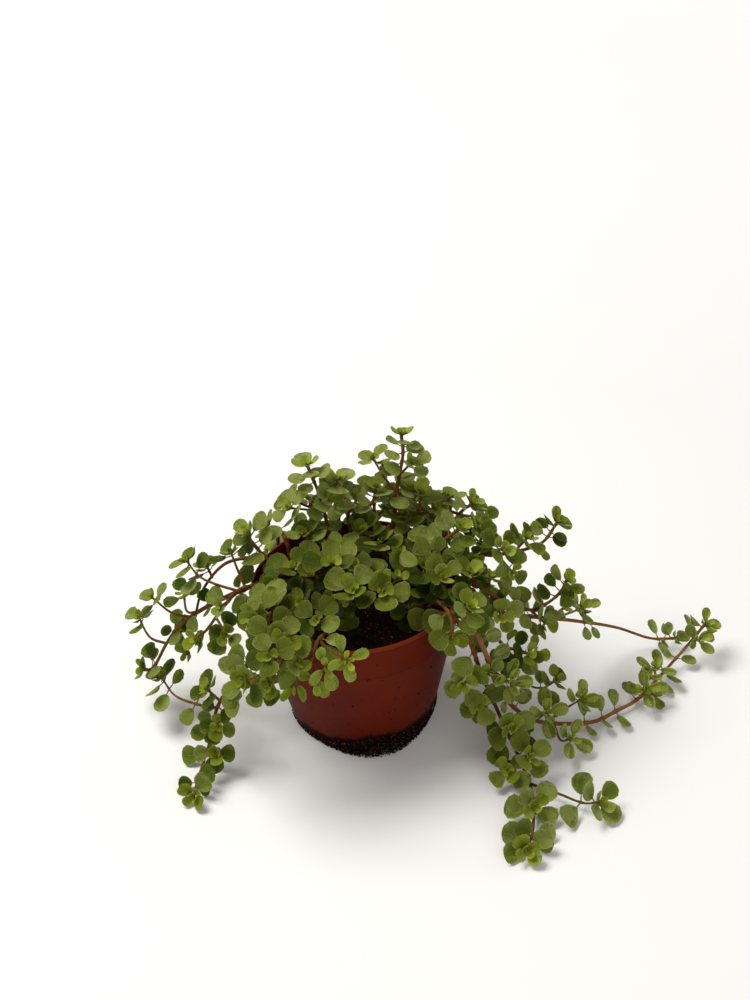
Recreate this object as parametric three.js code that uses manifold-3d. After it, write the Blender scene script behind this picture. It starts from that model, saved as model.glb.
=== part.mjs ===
// A potted creeping plant: small round leaves in opposite pairs on thin reddish stems that
// rise from the compost, cross the rim of a plain nursery pot and trail on all sides.
// Millimetres, +Z up. The origin is the centre of the pot's flat underside, the front is -Y.
import * as THREE from "three";
import { mergeVertices } from "three/addons/utils/BufferGeometryUtils.js";
import Module from "manifold-3d";

const wasm = await Module();
wasm.setup();

// Pot
const rimRadius = 60;
const potHeight = 90;
const baseRadius = 44;
const wall = 1.4;
const bandDepth = 21.6;
const bandStep = 1.5;
const lipHeight = 2.8;
const lipStep = 0.6;
const lipRound = 0.7;
const potSides = 32;
const drainCount = 6;
const drainRadius = 4;
const drainRing = 29;

// Compost
const compostLevel = 75.6;
const compostLump = 1.3;
const compostGap = 0.3;
const holeRadius = 2.4;
const holeFloor = 64;

// Stems
const rootHeight = 66;
const collarHeight = 80;
const stemRadius = 1.3;
const shootRadius = 1.1;
const stemStep = 15;
const shootStep = 12;
const stemSides = 3;
const arcSamples = 200;

// Corners nearer than this to the flat of their neighbours are dropped after a join.
const flatness = 0.04;

// Leaves
const leafLength = 15.5;
const leafWidth = 11.4;
const bladeThickness = 0.6;
const petioleWidth = 0.8;
const petioleShare = 0.28;
const bladeMiddle = 0.64;
const bladeReach = 0.365;
const cupShare = 0.085;
const largeBlade = 10.6;

// The light comes from above and a little from the front, and leaves turn towards it. The further
// out they grow, up to leanReach, the more they face outward and to the front.
const lightDirection = new THREE.Vector3(0, -0.2, 1);
const outwardLean = 0.45;
const forwardLean = 0.55;
const leanReach = 60;
const tipFollow = 0.6;
const olderFollow = 0.15;
const lowestFacing = -0.2;

// Two youngest pairs of a tip: distance back from the tip, rise of the blade, share of full size.
const tipPairs = [
  { back: 0.9, rise: 34, share: 0.7 },
  { back: 3, rise: 15, share: 0.98 },
];

// Older pairs stand further down, but not on shoots shorter than leafyShoot or the stems of leafyTips.
const olderStart = 11;
const olderAngles = [118, 62];
const leafyShoot = 36;
const leafyTips = ["crown_left", "crown_front", "crown_right", "soil_right"];
const olderRise = 8;
const shootBare = 3;
const trailingBare = 26;

// Room kept round leaves and stems, and how far from a leaf its neighbours are looked for.
const bladeRoom = 0.12;
const stemRoom = 0.25;
const potRoom = 0.5;
const lipRoom = 0.6;
const compostRoom = 1.6;
const petioleRoom = [0.6, 0.42];
const groundRoom = 0.35;
const searchReach = 22;

// Ways to move a leaf aside that has no room: turn and rise in degrees, share of its size.
const asides = [
  [0, 0, 1], [18, 0, 1], [-18, 0, 1], [0, 14, 1], [36, 0, 1], [-36, 0, 1], [0, 26, 1],
  [0, -14, 1], [0, 0, 0.85], [24, 14, 0.85], [-24, 14, 0.85], [0, 0, 0.7], [30, 22, 0.7],
  [-30, 22, 0.7],
];

// Each stem: root in the compost (x, y), leaf size, spacing of the older pairs along it, bare
// length above the root, the points it passes through, and its side shoots, each as the point
// of the stem it leaves (counted from the root) and the points it passes through.
const stems = [
  {
    name: "left_upper", root: [-33, 10], size: 0.88, gap: 30, bare: 42,
    path: [[-44, 0, 93], [-57, -8, 99], [-66, -9, 97], [-78, -5, 80], [-87, -6, 68], [-94, -6, 62]],
    shoots: [
      [4, [-80, 3, 94], [-89, 9, 96], [-96, 19, 100]],
      [3.5, [-65, -2, 106], [-69, 11, 110]],
      [5.3, [-74, -24, 78]],
    ],
  },
  {
    name: "left_far", root: [-36, 20], size: 0.8, gap: 32, bare: 52,
    path: [[-45, 8, 91], [-58, -3, 95], [-74, 4, 83], [-91, 8, 71], [-105, 13, 57], [-115, 14, 43],
      [-125, 10, 28], [-132, 13, 24]],
    shoots: [
      [5, [-99, 9, 70], [-100, 15, 80]],
      [5.5, [-109, 14, 66], [-120, 22, 72]],
      [7, [-125, 17, 46], [-131, 26, 54]],
    ],
  },
  {
    name: "left_trail", root: [-37, -10], size: 0.92, gap: 28, bare: 26,
    path: [[-47, -27, 92], [-53, -41, 94], [-61, -55, 83], [-73, -46, 60], [-84, -38, 36],
      [-91, -40, 12], [-97, -56, 4], [-100, -74, 4]],
    shoots: [
      [6, [-97, -27, 30], [-111, -13, 25], [-120, 4, 24]],
      [5.7, [-89, -32, 46]],
      [6.4, [-84, -43, 26]],
      [7, [-87, -52, 15]],
      [4.6, [-54, -65, 74]],
    ],
  },
  {
    name: "left_rosette", root: [-31, 1], size: 0.98, gap: 30, bare: 26,
    path: [[-42, -18, 93], [-48, -40, 104], [-57, -39, 102]],
    shoots: [
      [2.5, [-47, -27, 103]],
      [3, [-46, -57, 105]],
    ],
  },
  {
    name: "front_left", root: [-27, -16], size: 0.98, gap: 30, bare: 20,
    path: [[-33, -38, 90], [-38, -62, 104]],
    shoots: [
      [2.4, [-48, -71, 102]],
    ],
  },
  {
    name: "front_low", root: [-20, -22], size: 0.98, gap: 30, bare: 26,
    path: [[-28, -44, 91], [-36, -56, 94], [-43, -66, 91], [-50, -68, 80]],
    shoots: [
      [4.3, [-63, -71, 86]],
      [3.6, [-32, -69, 94]],
    ],
  },
  {
    name: "front_cascade", root: [-11, -15], size: 0.8, gap: 25, bare: 26,
    path: [[-17, -42, 91], [-22, -57, 97], [-26, -69, 95], [-31, -68, 86], [-38, -67, 76]],
    shoots: [
      [3.6, [-18, -71, 90]],
      [2.9, [-14, -69, 99], [-7, -73, 96]],
      [4.4, [-24, -71, 82]],
    ],
  },
  {
    name: "centre_left", root: [-14, 3], size: 0.95, gap: 30, bare: 20,
    path: [[-20, -20, 88], [-22, -44, 101]],
    shoots: [
      [2.2, [-31, -26, 98]],
      [2.3, [-12, -27, 97]],
    ],
  },
  {
    name: "crown_left", root: [-22, 22], size: 1, gap: 30, bare: 20,
    path: [[-29, 6, 90], [-34, -4, 107]],
    shoots: [
      [2.2, [-44, -10, 101]],
      [2.5, [-23, -1, 106]],
    ],
  },
  {
    name: "crown_mid", root: [-9, 16], size: 1.05, gap: 30, bare: 20,
    path: [[-10, 2, 92], [-12, -13, 115]],
    shoots: [
      [2.2, [-24, -11, 105]],
      [2.5, [-2, -13, 112]],
    ],
  },
  {
    name: "crown_front", root: [1, 7], size: 1.07, gap: 30, bare: 20,
    path: [[0, -13, 88], [-1, -31, 109]],
    shoots: [
      [2.1, [-10, -15, 101]],
      [2.4, [6, -19, 106]],
    ],
  },
  {
    name: "crown_right", root: [13, 5], size: 1.07, gap: 30, bare: 20,
    path: [[15, -17, 90], [14, -32, 107]],
    shoots: [
      [2.2, [24, -18, 105]],
      [2.2, [9, -19, 103]],
    ],
  },
  {
    name: "soil_right", root: [24, 2], size: 0.95, gap: 30, bare: 20,
    path: [[27, -12, 82], [30, -30, 88]],
    shoots: [],
  },
  {
    name: "crown_back", root: [15, 26], size: 0.95, gap: 30, bare: 20,
    path: [[19, 14, 92], [16, 11, 109]],
    shoots: [
      [2.2, [7, 22, 110]],
      [2.3, [26, 4, 106]],
    ],
  },
  {
    name: "back_left", root: [-27, 31], size: 1.02, gap: 30, bare: 60,
    path: [[-37, 15, 92], [-46, 7, 103], [-55, 12, 112], [-59, 17, 118]],
    shoots: [],
  },
  {
    name: "back_small", root: [-14, 30], size: 0.9, gap: 30, bare: 20,
    path: [[-20, 20, 95], [-27, 24, 109]],
    shoots: [
      [2.4, [-16, 13, 107]],
    ],
  },
  {
    name: "back_tall_left", root: [-13, 43], size: 0.88, gap: 28, bare: 26,
    path: [[-13, 36, 100], [-16, 38, 123], [-22, 43, 144]],
    shoots: [
      [2.6, [-26, 38, 116], [-35, 35, 120]],
      [2.9, [-10, 31, 126]],
    ],
  },
  {
    name: "back_tall_mid", root: [0, 41], size: 0.9, gap: 28, bare: 26,
    path: [[0, 34, 98], [-2, 35, 120], [-6, 40, 134]],
    shoots: [
      [2.6, [5, 35, 122]],
    ],
  },
  {
    name: "back_mid", root: [10, 40], size: 0.88, gap: 28, bare: 26,
    path: [[14, 34, 100], [15, 33, 122], [17, 36, 130]],
    shoots: [
      [2.4, [23, 34, 116]],
    ],
  },
  {
    name: "top_sprig", root: [22, 34], size: 0.8, gap: 22, bare: 26,
    path: [[25, 30, 102], [29, 32, 132], [33, 36, 150], [33, 43, 160]],
    shoots: [
      [2.8, [21, 38, 136], [16, 42, 146]],
      [3.3, [38, 31, 148]],
    ],
  },
  {
    name: "back_right", root: [30, 27], size: 0.92, gap: 28, bare: 26,
    path: [[36, 26, 100], [41, 28, 120], [42, 30, 128]],
    shoots: [
      [2.5, [32, 27, 116]],
      [2.6, [49, 24, 120]],
    ],
  },
  {
    name: "right_top", root: [42, 24], size: 0.88, gap: 30, bare: 26,
    path: [[48, 13, 96], [55, 12, 112], [63, 17, 120], [71, 20, 124]],
    shoots: [
      [3.5, [57, 27, 125]],
      [3.2, [71, 13, 116]],
    ],
  },
  {
    name: "right_high", root: [35, 18], size: 0.9, gap: 30, bare: 26,
    path: [[41, 4, 97], [50, -1, 113], [61, 0, 122]],
    shoots: [
      [2.6, [46, -12, 112]],
      [2.5, [41, 0, 112]],
    ],
  },
  {
    name: "right_back", root: [47, 15], size: 0.84, gap: 30, bare: 26,
    path: [[54, 5, 92], [62, -2, 100], [71, -7, 107], [88, -7, 107], [103, 1, 104], [111, 7, 104],
      [119, 15, 110]],
    shoots: [
      [4.1, [83, -16, 118]],
      [4.6, [88, -18, 102]],
      [3.6, [73, -2, 116]],
      [5.2, [99, -1, 112]],
    ],
  },
  {
    name: "right_arm", root: [46, 4], size: 0.84, gap: 32, bare: 26,
    path: [[53, -6, 97], [62, -16, 102], [68, -29, 103], [82, -29, 90], [98, -21, 76],
      [109, -14, 74], [117, -10, 78], [121, -7, 84]],
    shoots: [
      [3.6, [64, -23, 108]],
      [4.8, [79, -36, 86]],
      [4.4, [75, -22, 104]],
      [6, [106, -21, 66]],
    ],
  },
  {
    name: "right_thin", root: [42, -4], size: 0.7, gap: 60, bare: 60,
    path: [[52, -18, 92], [61, -27, 100], [80, -30, 84], [105, -12, 62], [129, 3, 44],
      [158, 19, 22], [181, 22, 8], [197, 20, 8]],
    shoots: [
      [5.4, [134, 7, 50]],
    ],
  },
  {
    name: "right_trail", root: [31, -13], size: 1, gap: 30, bare: 44,
    path: [[42, -33, 91], [53, -43, 93], [60, -50, 82], [66, -48, 58], [76, -54, 28], [85, -68, 8],
      [89, -90, 4], [86, -115, 4], [80, -133, 6]],
    shoots: [
      [4.9, [56, -52, 52]],
      [6.1, [81, -68, 30]],
      [7, [90, -78, 18]],
      [7.2, [77, -79, 10]],
      [8.3, [88, -106, 9]],
      [7.8, [103, -96, 6], [115, -104, 6], [124, -107, 9]],
      [5.4, [63, -58, 42]],
    ],
  },
  {
    name: "right_run", root: [41, -17], size: 0.84, gap: 30, bare: 26,
    path: [[50, -31, 94], [59, -40, 92], [68, -49, 74], [77, -48, 42], [89, -45, 20],
      [104, -43, 8], [131, -42, 4], [149, -34, 4], [164, -25, 4], [183, -6, 5], [202, 10, 12],
      [213, 16, 22]],
    shoots: [
      [4.5, [82, -56, 54]],
      [6.7, [103, -53, 26]],
      [7, [120, -37, 14], [127, -38, 20]],
      [7.2, [111, -57, 7], [116, -62, 13]],
      [10.2, [166, -29, 14]],
    ],
  },
  {
    name: "right_hang", root: [34, -6], size: 0.9, gap: 30, bare: 26,
    path: [[43, -25, 93], [49, -49, 103], [50, -58, 98], [49, -54, 88]],
    shoots: [
      [3, [60, -51, 108]],
    ],
  },
  {
    name: "right_sprig", root: [51, -1], size: 0.78, gap: 30, bare: 26,
    path: [[57, -14, 94], [67, -22, 91], [78, -38, 70], [89, -34, 58], [99, -37, 56]],
    shoots: [
      [4.4, [90, -36, 38], [103, -33, 26], [113, -29, 28]],
    ],
  },
  {
    name: "right_crown", root: [26, 14], size: 0.98, gap: 30, bare: 20,
    path: [[37, -5, 88], [48, -28, 111]],
    shoots: [
      [2.4, [39, -14, 110]],
      [2.3, [54, -36, 105]],
      [2.1, [36, -20, 98]],
    ],
  },
  {
    name: "rear_1", root: [-47, 19], size: 0.84, gap: 30, bare: 34,
    path: [[-51, 18, 92], [-57, 20, 97], [-75, 23, 92], [-90, 19, 76], [-97, 14, 56], [-103, 7, 40]],
    shoots: [
      [4.5, [-86, 31, 84]],
    ],
  },
  {
    name: "rear_2", root: [-37, 35], size: 0.9, gap: 30, bare: 46,
    path: [[-38, 38, 92], [-41, 45, 95], [-44, 56, 89], [-45, 62, 68], [-43, 67, 44], [-40, 75, 20],
      [-38, 90, 6]],
    shoots: [
      [5.2, [-54, 76, 56]],
      [6.4, [-28, 82, 36]],
    ],
  },
  {
    name: "rear_3", root: [-22, 46], size: 0.86, gap: 30, bare: 25,
    path: [[-23, 49, 93], [-23, 55, 99], [-23, 70, 98], [-21, 83, 88]],
    shoots: [
      [3.6, [-36, 67, 104]],
    ],
  },
  {
    name: "rear_4", root: [-7, 51], size: 0.94, gap: 30, bare: 25,
    path: [[-7, 54, 92], [-6, 60, 97], [-3, 78, 93], [3, 92, 74], [9, 99, 48], [14, 101, 22],
      [20, 114, 5], [27, 129, 5]],
    shoots: [
      [4.4, [-13, 91, 84]],
      [6.6, [0, 108, 36]],
    ],
  },
  {
    name: "rear_5", root: [7, 51], size: 0.86, gap: 30, bare: 25,
    path: [[9, 53, 93], [12, 59, 99], [21, 70, 100], [31, 78, 92]],
    shoots: [
      [4.2, [38, 71, 98]],
    ],
  },
  {
    name: "rear_6", root: [22, 46], size: 0.9, gap: 30, bare: 25,
    path: [[25, 48, 92], [29, 52, 97], [41, 65, 93], [52, 75, 76], [62, 76, 54], [72, 75, 34],
      [83, 75, 20]],
    shoots: [
      [4.4, [40, 83, 84]],
      [5.6, [52, 90, 62]],
    ],
  },
  {
    name: "rear_7", root: [35, 37], size: 0.86, gap: 30, bare: 25,
    path: [[38, 38, 93], [43, 42, 98], [57, 50, 98], [72, 54, 88], [81, 55, 76]],
    shoots: [
      [3.6, [52, 58, 104]],
      [4.6, [80, 46, 94]],
    ],
  },
];

const potMaterial = new THREE.MeshStandardMaterial({
  color: 0x6e2a1c,
  roughness: 0.45,
  metalness: 0,
});
const compostMaterial = new THREE.MeshStandardMaterial({
  color: 0x2a1c14,
  roughness: 1,
  metalness: 0,
});

// A fixed sequence of numbers from 0 to 1.
function makeRandom(seed) {
  let state = seed;
  return () => {
    state = (state * 1664525 + 1013904223) % 4294967296;
    return state / 4294967296;
  };
}

function toSolid(geometry) {
  const bare = geometry.clone();
  bare.deleteAttribute("normal");
  bare.deleteAttribute("uv");
  const merged = mergeVertices(bare, 1e-4);
  return new wasm.Manifold(new wasm.Mesh({
    numProp: 3,
    vertProperties: new Float32Array(merged.attributes.position.array),
    triVerts: new Uint32Array(merged.index.array),
  }));
}

function toMesh(solid, name, material) {
  const data = solid.getMesh();
  const geometry = new THREE.BufferGeometry();
  geometry.setAttribute("position", new THREE.BufferAttribute(data.vertProperties, 3));
  geometry.setIndex(new THREE.BufferAttribute(data.triVerts, 1));
  geometry.computeVertexNormals();
  const mesh = new THREE.Mesh(geometry, material);
  mesh.name = name;
  return mesh;
}

// Lathe about Z of a closed profile of [radius, height] pairs, from the axis back to the axis.
function lathe(profile, sides) {
  const points = profile.map(([radius, height]) => new THREE.Vector2(radius, height));
  return new THREE.LatheGeometry(points, sides).rotateX(Math.PI / 2);
}

// Straight or curved bar of a regular section that follows a curve.
function bar(curve, steps, radius, sides) {
  const section = new THREE.Shape();
  for (let i = 0; i < sides; i += 1) {
    const angle = (2 * Math.PI * i) / sides;
    const x = radius * Math.cos(angle);
    const y = radius * Math.sin(angle);
    if (i === 0) {
      section.moveTo(x, y);
    } else {
      section.lineTo(x, y);
    }
  }
  section.closePath();
  return new THREE.ExtrudeGeometry(section, { steps, extrudePath: curve, bevelEnabled: false });
}

const bandBottom = potHeight - bandDepth;

// Outer radius of the pot at a height: a plain taper, then the straight band under the lip.
function potOuter(z) {
  if (z > bandBottom - 0.5) {
    return rimRadius;
  }
  const share = Math.min(Math.max(z, 0), bandBottom) / bandBottom;
  return baseRadius + (rimRadius - bandStep - baseRadius) * share;
}

function buildPot() {
  const shoulder = rimRadius - bandStep;
  const profile = [
    [0, 0],
    [baseRadius - 1, 0],
    [baseRadius, 1.2],
    [shoulder, bandBottom],
    [rimRadius - lipStep, bandBottom + lipStep],
    [rimRadius - lipStep, potHeight - lipHeight],
    [rimRadius, potHeight - lipHeight + lipStep],
    [rimRadius, potHeight - lipRound],
    [rimRadius - lipRound, potHeight],
    [rimRadius - wall, potHeight - 0.5],
    [rimRadius - wall - 0.1, bandBottom + 2.4],
    [shoulder - wall, bandBottom],
    [baseRadius - wall, wall + 0.2],
    [0, wall + 0.2],
  ];
  let pot = toSolid(lathe(profile, potSides));
  for (let i = 0; i < drainCount; i += 1) {
    const angle = (2 * Math.PI * (i + 0.5)) / drainCount;
    const drain = new THREE.CylinderGeometry(drainRadius, drainRadius, 4 * wall, 8)
      .rotateX(Math.PI / 2)
      .translate(drainRing * Math.cos(angle), drainRing * Math.sin(angle), 0.5 * wall);
    pot = pot.subtract(toSolid(drain));
  }
  return toMesh(pot.asOriginal().simplify(flatness), "pot", potMaterial);
}

// The compost fills the pot. Its top is lumpy, and each stem stands in a plain hole in it.
function buildCompost(runs) {
  const random = makeRandom(77);
  const sides = 16;
  const rings = 3;
  const top = rimRadius - wall - compostGap - 0.4;
  const shoulder = rimRadius - bandStep - wall - compostGap - 0.3;
  const bottom = baseRadius - wall - compostGap - 0.3;
  const floor = wall + 0.2 + compostGap;
  const outline = [
    [shoulder, bandBottom - 0.4],
    [bottom, floor],
  ];
  const positions = [0, 0, compostLevel];
  const triangles = [];
  for (let ring = 1; ring <= rings; ring += 1) {
    for (let i = 0; i < sides; i += 1) {
      const angle = (2 * Math.PI * (i + 0.5 * (ring % 2))) / sides;
      const radius = (top * ring) / rings;
      const height = compostLevel + compostLump * (2 * random() - 1);
      positions.push(radius * Math.cos(angle), radius * Math.sin(angle), height);
    }
  }
  for (const [radius, height] of outline) {
    for (let i = 0; i < sides; i += 1) {
      const angle = (2 * Math.PI * i) / sides;
      positions.push(radius * Math.cos(angle), radius * Math.sin(angle), height);
    }
  }
  positions.push(0, 0, floor);
  const rows = rings + outline.length;
  for (let i = 0; i < sides; i += 1) {
    const next = (i + 1) % sides;
    triangles.push(0, 1 + i, 1 + next);
    for (let row = 0; row < rows - 1; row += 1) {
      const a = 1 + row * sides + i;
      const b = 1 + row * sides + next;
      const c = a + sides;
      const d = b + sides;
      if (row % 2 === 0 && row < rings) {
        triangles.push(a, d, b, a, c, d);
      } else {
        triangles.push(a, c, b, b, c, d);
      }
    }
    const last = 1 + (rows - 1) * sides;
    triangles.push(last + i, positions.length / 3 - 1, last + next);
  }
  const geometry = new THREE.BufferGeometry();
  geometry.setAttribute("position", new THREE.Float32BufferAttribute(positions, 3));
  geometry.setIndex(triangles);
  let compost = toSolid(geometry);
  for (const run of runs) {
    const [root, above] = run.vertices;
    const slope = above.clone().sub(root).normalize();
    const from = root.clone().addScaledVector(slope, (holeFloor - root.z) / slope.z);
    const to = root.clone().addScaledVector(slope, (collarHeight + 2 - root.z) / slope.z);
    compost = compost.subtract(toSolid(bar(new THREE.LineCurve3(from, to), 1, holeRadius, 4)));
  }
  return toMesh(compost.asOriginal().simplify(flatness), "compost", compostMaterial);
}

// The course of a stem or shoot: a smooth curve, and its corners at even steps along it.
function makeRun(points, step) {
  const curve = new THREE.CatmullRomCurve3(points, false, "catmullrom", 0.5);
  const length = curve.getLength();
  const steps = Math.max(2, Math.round(length / step));
  return { curve, length, steps, vertices: curve.getSpacedPoints(steps) };
}

// Point and direction of a run at a distance from its start, on the straight piece there.
function onRun(run, distance) {
  const place = Math.min(Math.max(distance / run.length, 0), 1) * run.steps;
  const index = Math.min(Math.floor(place), run.steps - 1);
  const a = run.vertices[index];
  const b = run.vertices[index + 1];
  return {
    point: a.clone().lerp(b, place - index),
    tangent: b.clone().sub(a).normalize(),
  };
}

// A box is a centre, three axes and three half sizes. Two boxes are apart when one of the 15
// axes (the faces' and the edges' cross products) separates them.
function boxesMeet(p, q) {
  const offset = q.center.clone().sub(p.center);
  const t = p.axes.map((axis) => offset.dot(axis));
  const r = p.axes.map((a) => q.axes.map((b) => a.dot(b)));
  const s = r.map((row) => row.map((value) => Math.abs(value) + 1e-9));
  for (let j = 0; j < 3; j += 1) {
    const reach = q.half[0] * s[j][0] + q.half[1] * s[j][1] + q.half[2] * s[j][2];
    if (Math.abs(t[j]) > p.half[j] + reach) {
      return false;
    }
  }
  for (let k = 0; k < 3; k += 1) {
    const gap = t[0] * r[0][k] + t[1] * r[1][k] + t[2] * r[2][k];
    const reach = p.half[0] * s[0][k] + p.half[1] * s[1][k] + p.half[2] * s[2][k];
    if (Math.abs(gap) > q.half[k] + reach) {
      return false;
    }
  }
  for (let j = 0; j < 3; j += 1) {
    const j1 = (j + 1) % 3;
    const j2 = (j + 2) % 3;
    for (let k = 0; k < 3; k += 1) {
      const k1 = (k + 1) % 3;
      const k2 = (k + 2) % 3;
      const gap = t[j2] * r[j1][k] - t[j1] * r[j2][k];
      const own = p.half[j1] * s[j2][k] + p.half[j2] * s[j1][k];
      const other = q.half[k1] * s[j][k2] + q.half[k2] * s[j][k1];
      if (Math.abs(gap) > own + other) {
        return false;
      }
    }
  }
  return true;
}

function near(p, q, reach) {
  const dx = Math.abs(p.center.x - q.center.x);
  const dy = Math.abs(p.center.y - q.center.y);
  const dz = Math.abs(p.center.z - q.center.z);
  return Math.max(dx, dy, dz) < reach;
}

// One box round each straight piece of a run.
function runBoxes(run, radius) {
  const boxes = [];
  for (let i = 0; i < run.steps; i += 1) {
    const a = run.vertices[i];
    const b = run.vertices[i + 1];
    const along = b.clone().sub(a);
    const length = along.length();
    along.normalize();
    const reference = Math.abs(along.z) < 0.8
      ? new THREE.Vector3(0, 0, 1)
      : new THREE.Vector3(1, 0, 0);
    const across = along.clone().cross(reference).normalize();
    boxes.push({
      center: a.clone().add(b).multiplyScalar(0.5),
      axes: [along, across, along.clone().cross(across)],
      half: [length / 2, radius, radius],
    });
  }
  return boxes;
}

// True when all these points keep clear of the ground, the pot's wall and the compost.
function clearOfPot(points) {
  if (points.some((p) => p.z < groundRoom)) {
    return false;
  }
  const seen = points.map((p) => {
    const radius = Math.hypot(p.x, p.y);
    return {
      z: p.z,
      low: p.z < potHeight + potRoom + bladeThickness / 2,
      outside: radius > potOuter(p.z) + potRoom,
      inside: radius < rimRadius - wall - potRoom - lipRoom,
    };
  });
  if (!seen.some((p) => p.low)) {
    return true;
  }
  if (seen.some((p) => !p.outside && p.z < compostLevel + compostLump + compostRoom)) {
    return false;
  }
  if (seen.every((p) => p.outside) || seen.every((p) => p.inside)) {
    return true;
  }
  if (seen.some((p) => p.low && !p.outside && !p.inside)) {
    return false;
  }
  return !(seen.some((p) => p.low && p.outside) && seen.some((p) => p.low && p.inside));
}

// Which way the leaves at a point of a stem face, and the two directions across that.
function facing(point, tangent, follow) {
  const reach = Math.max(Math.hypot(point.x, point.y), 1);
  const lean = outwardLean * Math.min(reach / leanReach, 1) ** 2;
  const outward = new THREE.Vector3(point.x / reach, point.y / reach - forwardLean, 0);
  const light = lightDirection.clone()
    .addScaledVector(outward, lean)
    .normalize();
  const face = light.addScaledVector(tangent, follow).normalize();
  let side = tangent.clone().addScaledVector(face, -tangent.dot(face));
  if (side.lengthSq() < 0.06) {
    side = new THREE.Vector3(1, 0, 0).addScaledVector(face, -face.x);
  }
  side.normalize();
  return { face, side, cross: face.clone().cross(side) };
}

// Outline of a blade used to keep it clear: share of the length, share of the width.
const clearOutline = [
  [0.3, -0.3], [0.52, -0.5], [0.75, -0.46], [0.93, -0.3], [1, 0],
  [0.93, 0.3], [0.75, 0.46], [0.52, 0.5], [0.3, 0.3], [0.62, 0],
];

// Lays out the stems, then finds room for one leaf after another.
function growPlants() {
  const axes = [];
  const stemBoxes = [];
  stems.forEach((stem, index) => {
    const points = [
      new THREE.Vector3(...stem.root, rootHeight),
      new THREE.Vector3(...stem.root, collarHeight),
      ...stem.path.map((p) => new THREE.Vector3(...p)),
    ];
    const main = makeRun(points, stemStep);
    axes.push({ stem: index, run: main, radius: stemRadius, main: true, bare: stem.bare });
    for (const [at, ...path] of stem.shoots) {
      const share = Math.round((arcSamples * at) / (points.length - 1));
      const start = onRun(main, main.curve.getLengths(arcSamples)[share]).point;
      const run = makeRun([start, ...path.map((p) => new THREE.Vector3(...p))], shootStep);
      axes.push({ stem: index, run, radius: shootRadius, main: false, bare: shootBare });
    }
  });
  axes.forEach((axis) => {
    const radius = axis.main ? stemRadius : shootRadius - 0.2;
    for (const box of runBoxes(axis.run, radius + stemRoom)) {
      stemBoxes.push({ ...box, stem: axis.stem });
    }
  });

  const random = makeRandom(20240);
  const leaves = [];
  const leafBoxes = [];

  function place(axisIndex, distance, azimuth, rise, size, follow) {
    const axis = axes[axisIndex];
    const { point, tangent } = onRun(axis.run, distance);
    const { face, side, cross } = facing(point, tangent, follow);
    for (const [turn, lift, share] of asides) {
      const a = THREE.MathUtils.degToRad(azimuth + turn);
      const b = THREE.MathUtils.degToRad(rise + lift);
      const length = leafLength * size * share;
      const width = leafWidth * size * share;
      const out = side.clone().multiplyScalar(Math.cos(a)).addScaledVector(cross, Math.sin(a));
      const along = out.clone().multiplyScalar(Math.cos(b)).addScaledVector(face, Math.sin(b));
      const normal = face.clone().multiplyScalar(Math.cos(b)).addScaledVector(out, -Math.sin(b));
      if (normal.z < lowestFacing) {
        continue;
      }
      const across = normal.clone().cross(along);
      const cup = cupShare * width;
      const half = bladeThickness / 2;
      const outline = clearOutline.map(([x, y]) => point.clone()
        .addScaledVector(along, x * length)
        .addScaledVector(across, y * width));
      const upper = outline.map((p) => p.clone().addScaledVector(normal, half));
      const lower = outline.map((p) => p.clone().addScaledVector(normal, -half - cup));
      if (!clearOfPot([...upper, ...lower])) {
        continue;
      }
      const blade = {
        center: point.clone().addScaledVector(along, bladeMiddle * length)
          .addScaledVector(normal, -0.5 * cup),
        axes: [along, across, normal],
        half: [bladeReach * length, 0.5 * width, half + 0.5 * cup + bladeRoom],
        axis: axisIndex,
        stem: axis.stem,
        blade: true,
      };
      const petiole = {
        center: point.clone().addScaledVector(along, 0.5 * petioleShare * length),
        axes: blade.axes,
        half: [0.5 * petioleShare * length, ...petioleRoom],
        axis: axisIndex,
        stem: axis.stem,
        blade: false,
      };
      const nearStems = stemBoxes.filter((box) => near(box, blade, searchReach));
      if (nearStems.some((box) => boxesMeet(blade, box))) {
        continue;
      }
      if (nearStems.some((box) => box.stem !== axis.stem && boxesMeet(petiole, box))) {
        continue;
      }
      const nearLeaves = leafBoxes.filter((box) => near(box, blade, searchReach));
      if (nearLeaves.some((box) => (box.stem !== axis.stem || box.blade)
        && boxesMeet(blade, box))) {
        continue;
      }
      if (nearLeaves.some((box) => (box.stem !== axis.stem
        || (box.blade && box.axis !== axisIndex)) && boxesMeet(petiole, box))) {
        continue;
      }
      leafBoxes.push(blade, petiole);
      leaves.push({ stem: axis.stem, point, along, across, normal, length, width, cup });
      return;
    }
  }

  axes.forEach((axis, index) => {
    const base = random() * 90;
    const full = stems[axis.stem].size;
    tipPairs.forEach(({ back, rise, share }, pair) => {
      if (pair === 0 && axis.bare < trailingBare) {
        return;
      }
      for (const opposite of [0, 180]) {
        const azimuth = base + 90 * pair + opposite + (random() - 0.5) * 16;
        const lift = rise + (random() - 0.5) * 12;
        const size = share * full * (1 + (random() - 0.5) * 0.24);
        place(index, axis.run.length - back, azimuth, lift, size, tipFollow);
      }
    });
  });

  axes.forEach((axis, index) => {
    const { name, size: full, gap } = stems[axis.stem];
    if (leafyTips.includes(name) || (!axis.main && axis.run.length < leafyShoot)) {
      return;
    }
    let back = olderStart;
    for (let pair = 0; axis.run.length - back > axis.bare; pair += 1) {
      const base = olderAngles[pair % 2] + (random() - 0.5) * 24;
      for (const opposite of [0, 180]) {
        const azimuth = base + opposite + (random() - 0.5) * 20;
        const lift = olderRise + (random() - 0.5) * 22;
        const size = full * (1 + (random() - 0.5) * 0.28);
        place(index, axis.run.length - back, azimuth, lift, size, olderFollow);
      }
      back += gap * (0.85 + 0.3 * random());
    }
  });
  return { axes, leaves };
}

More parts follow.
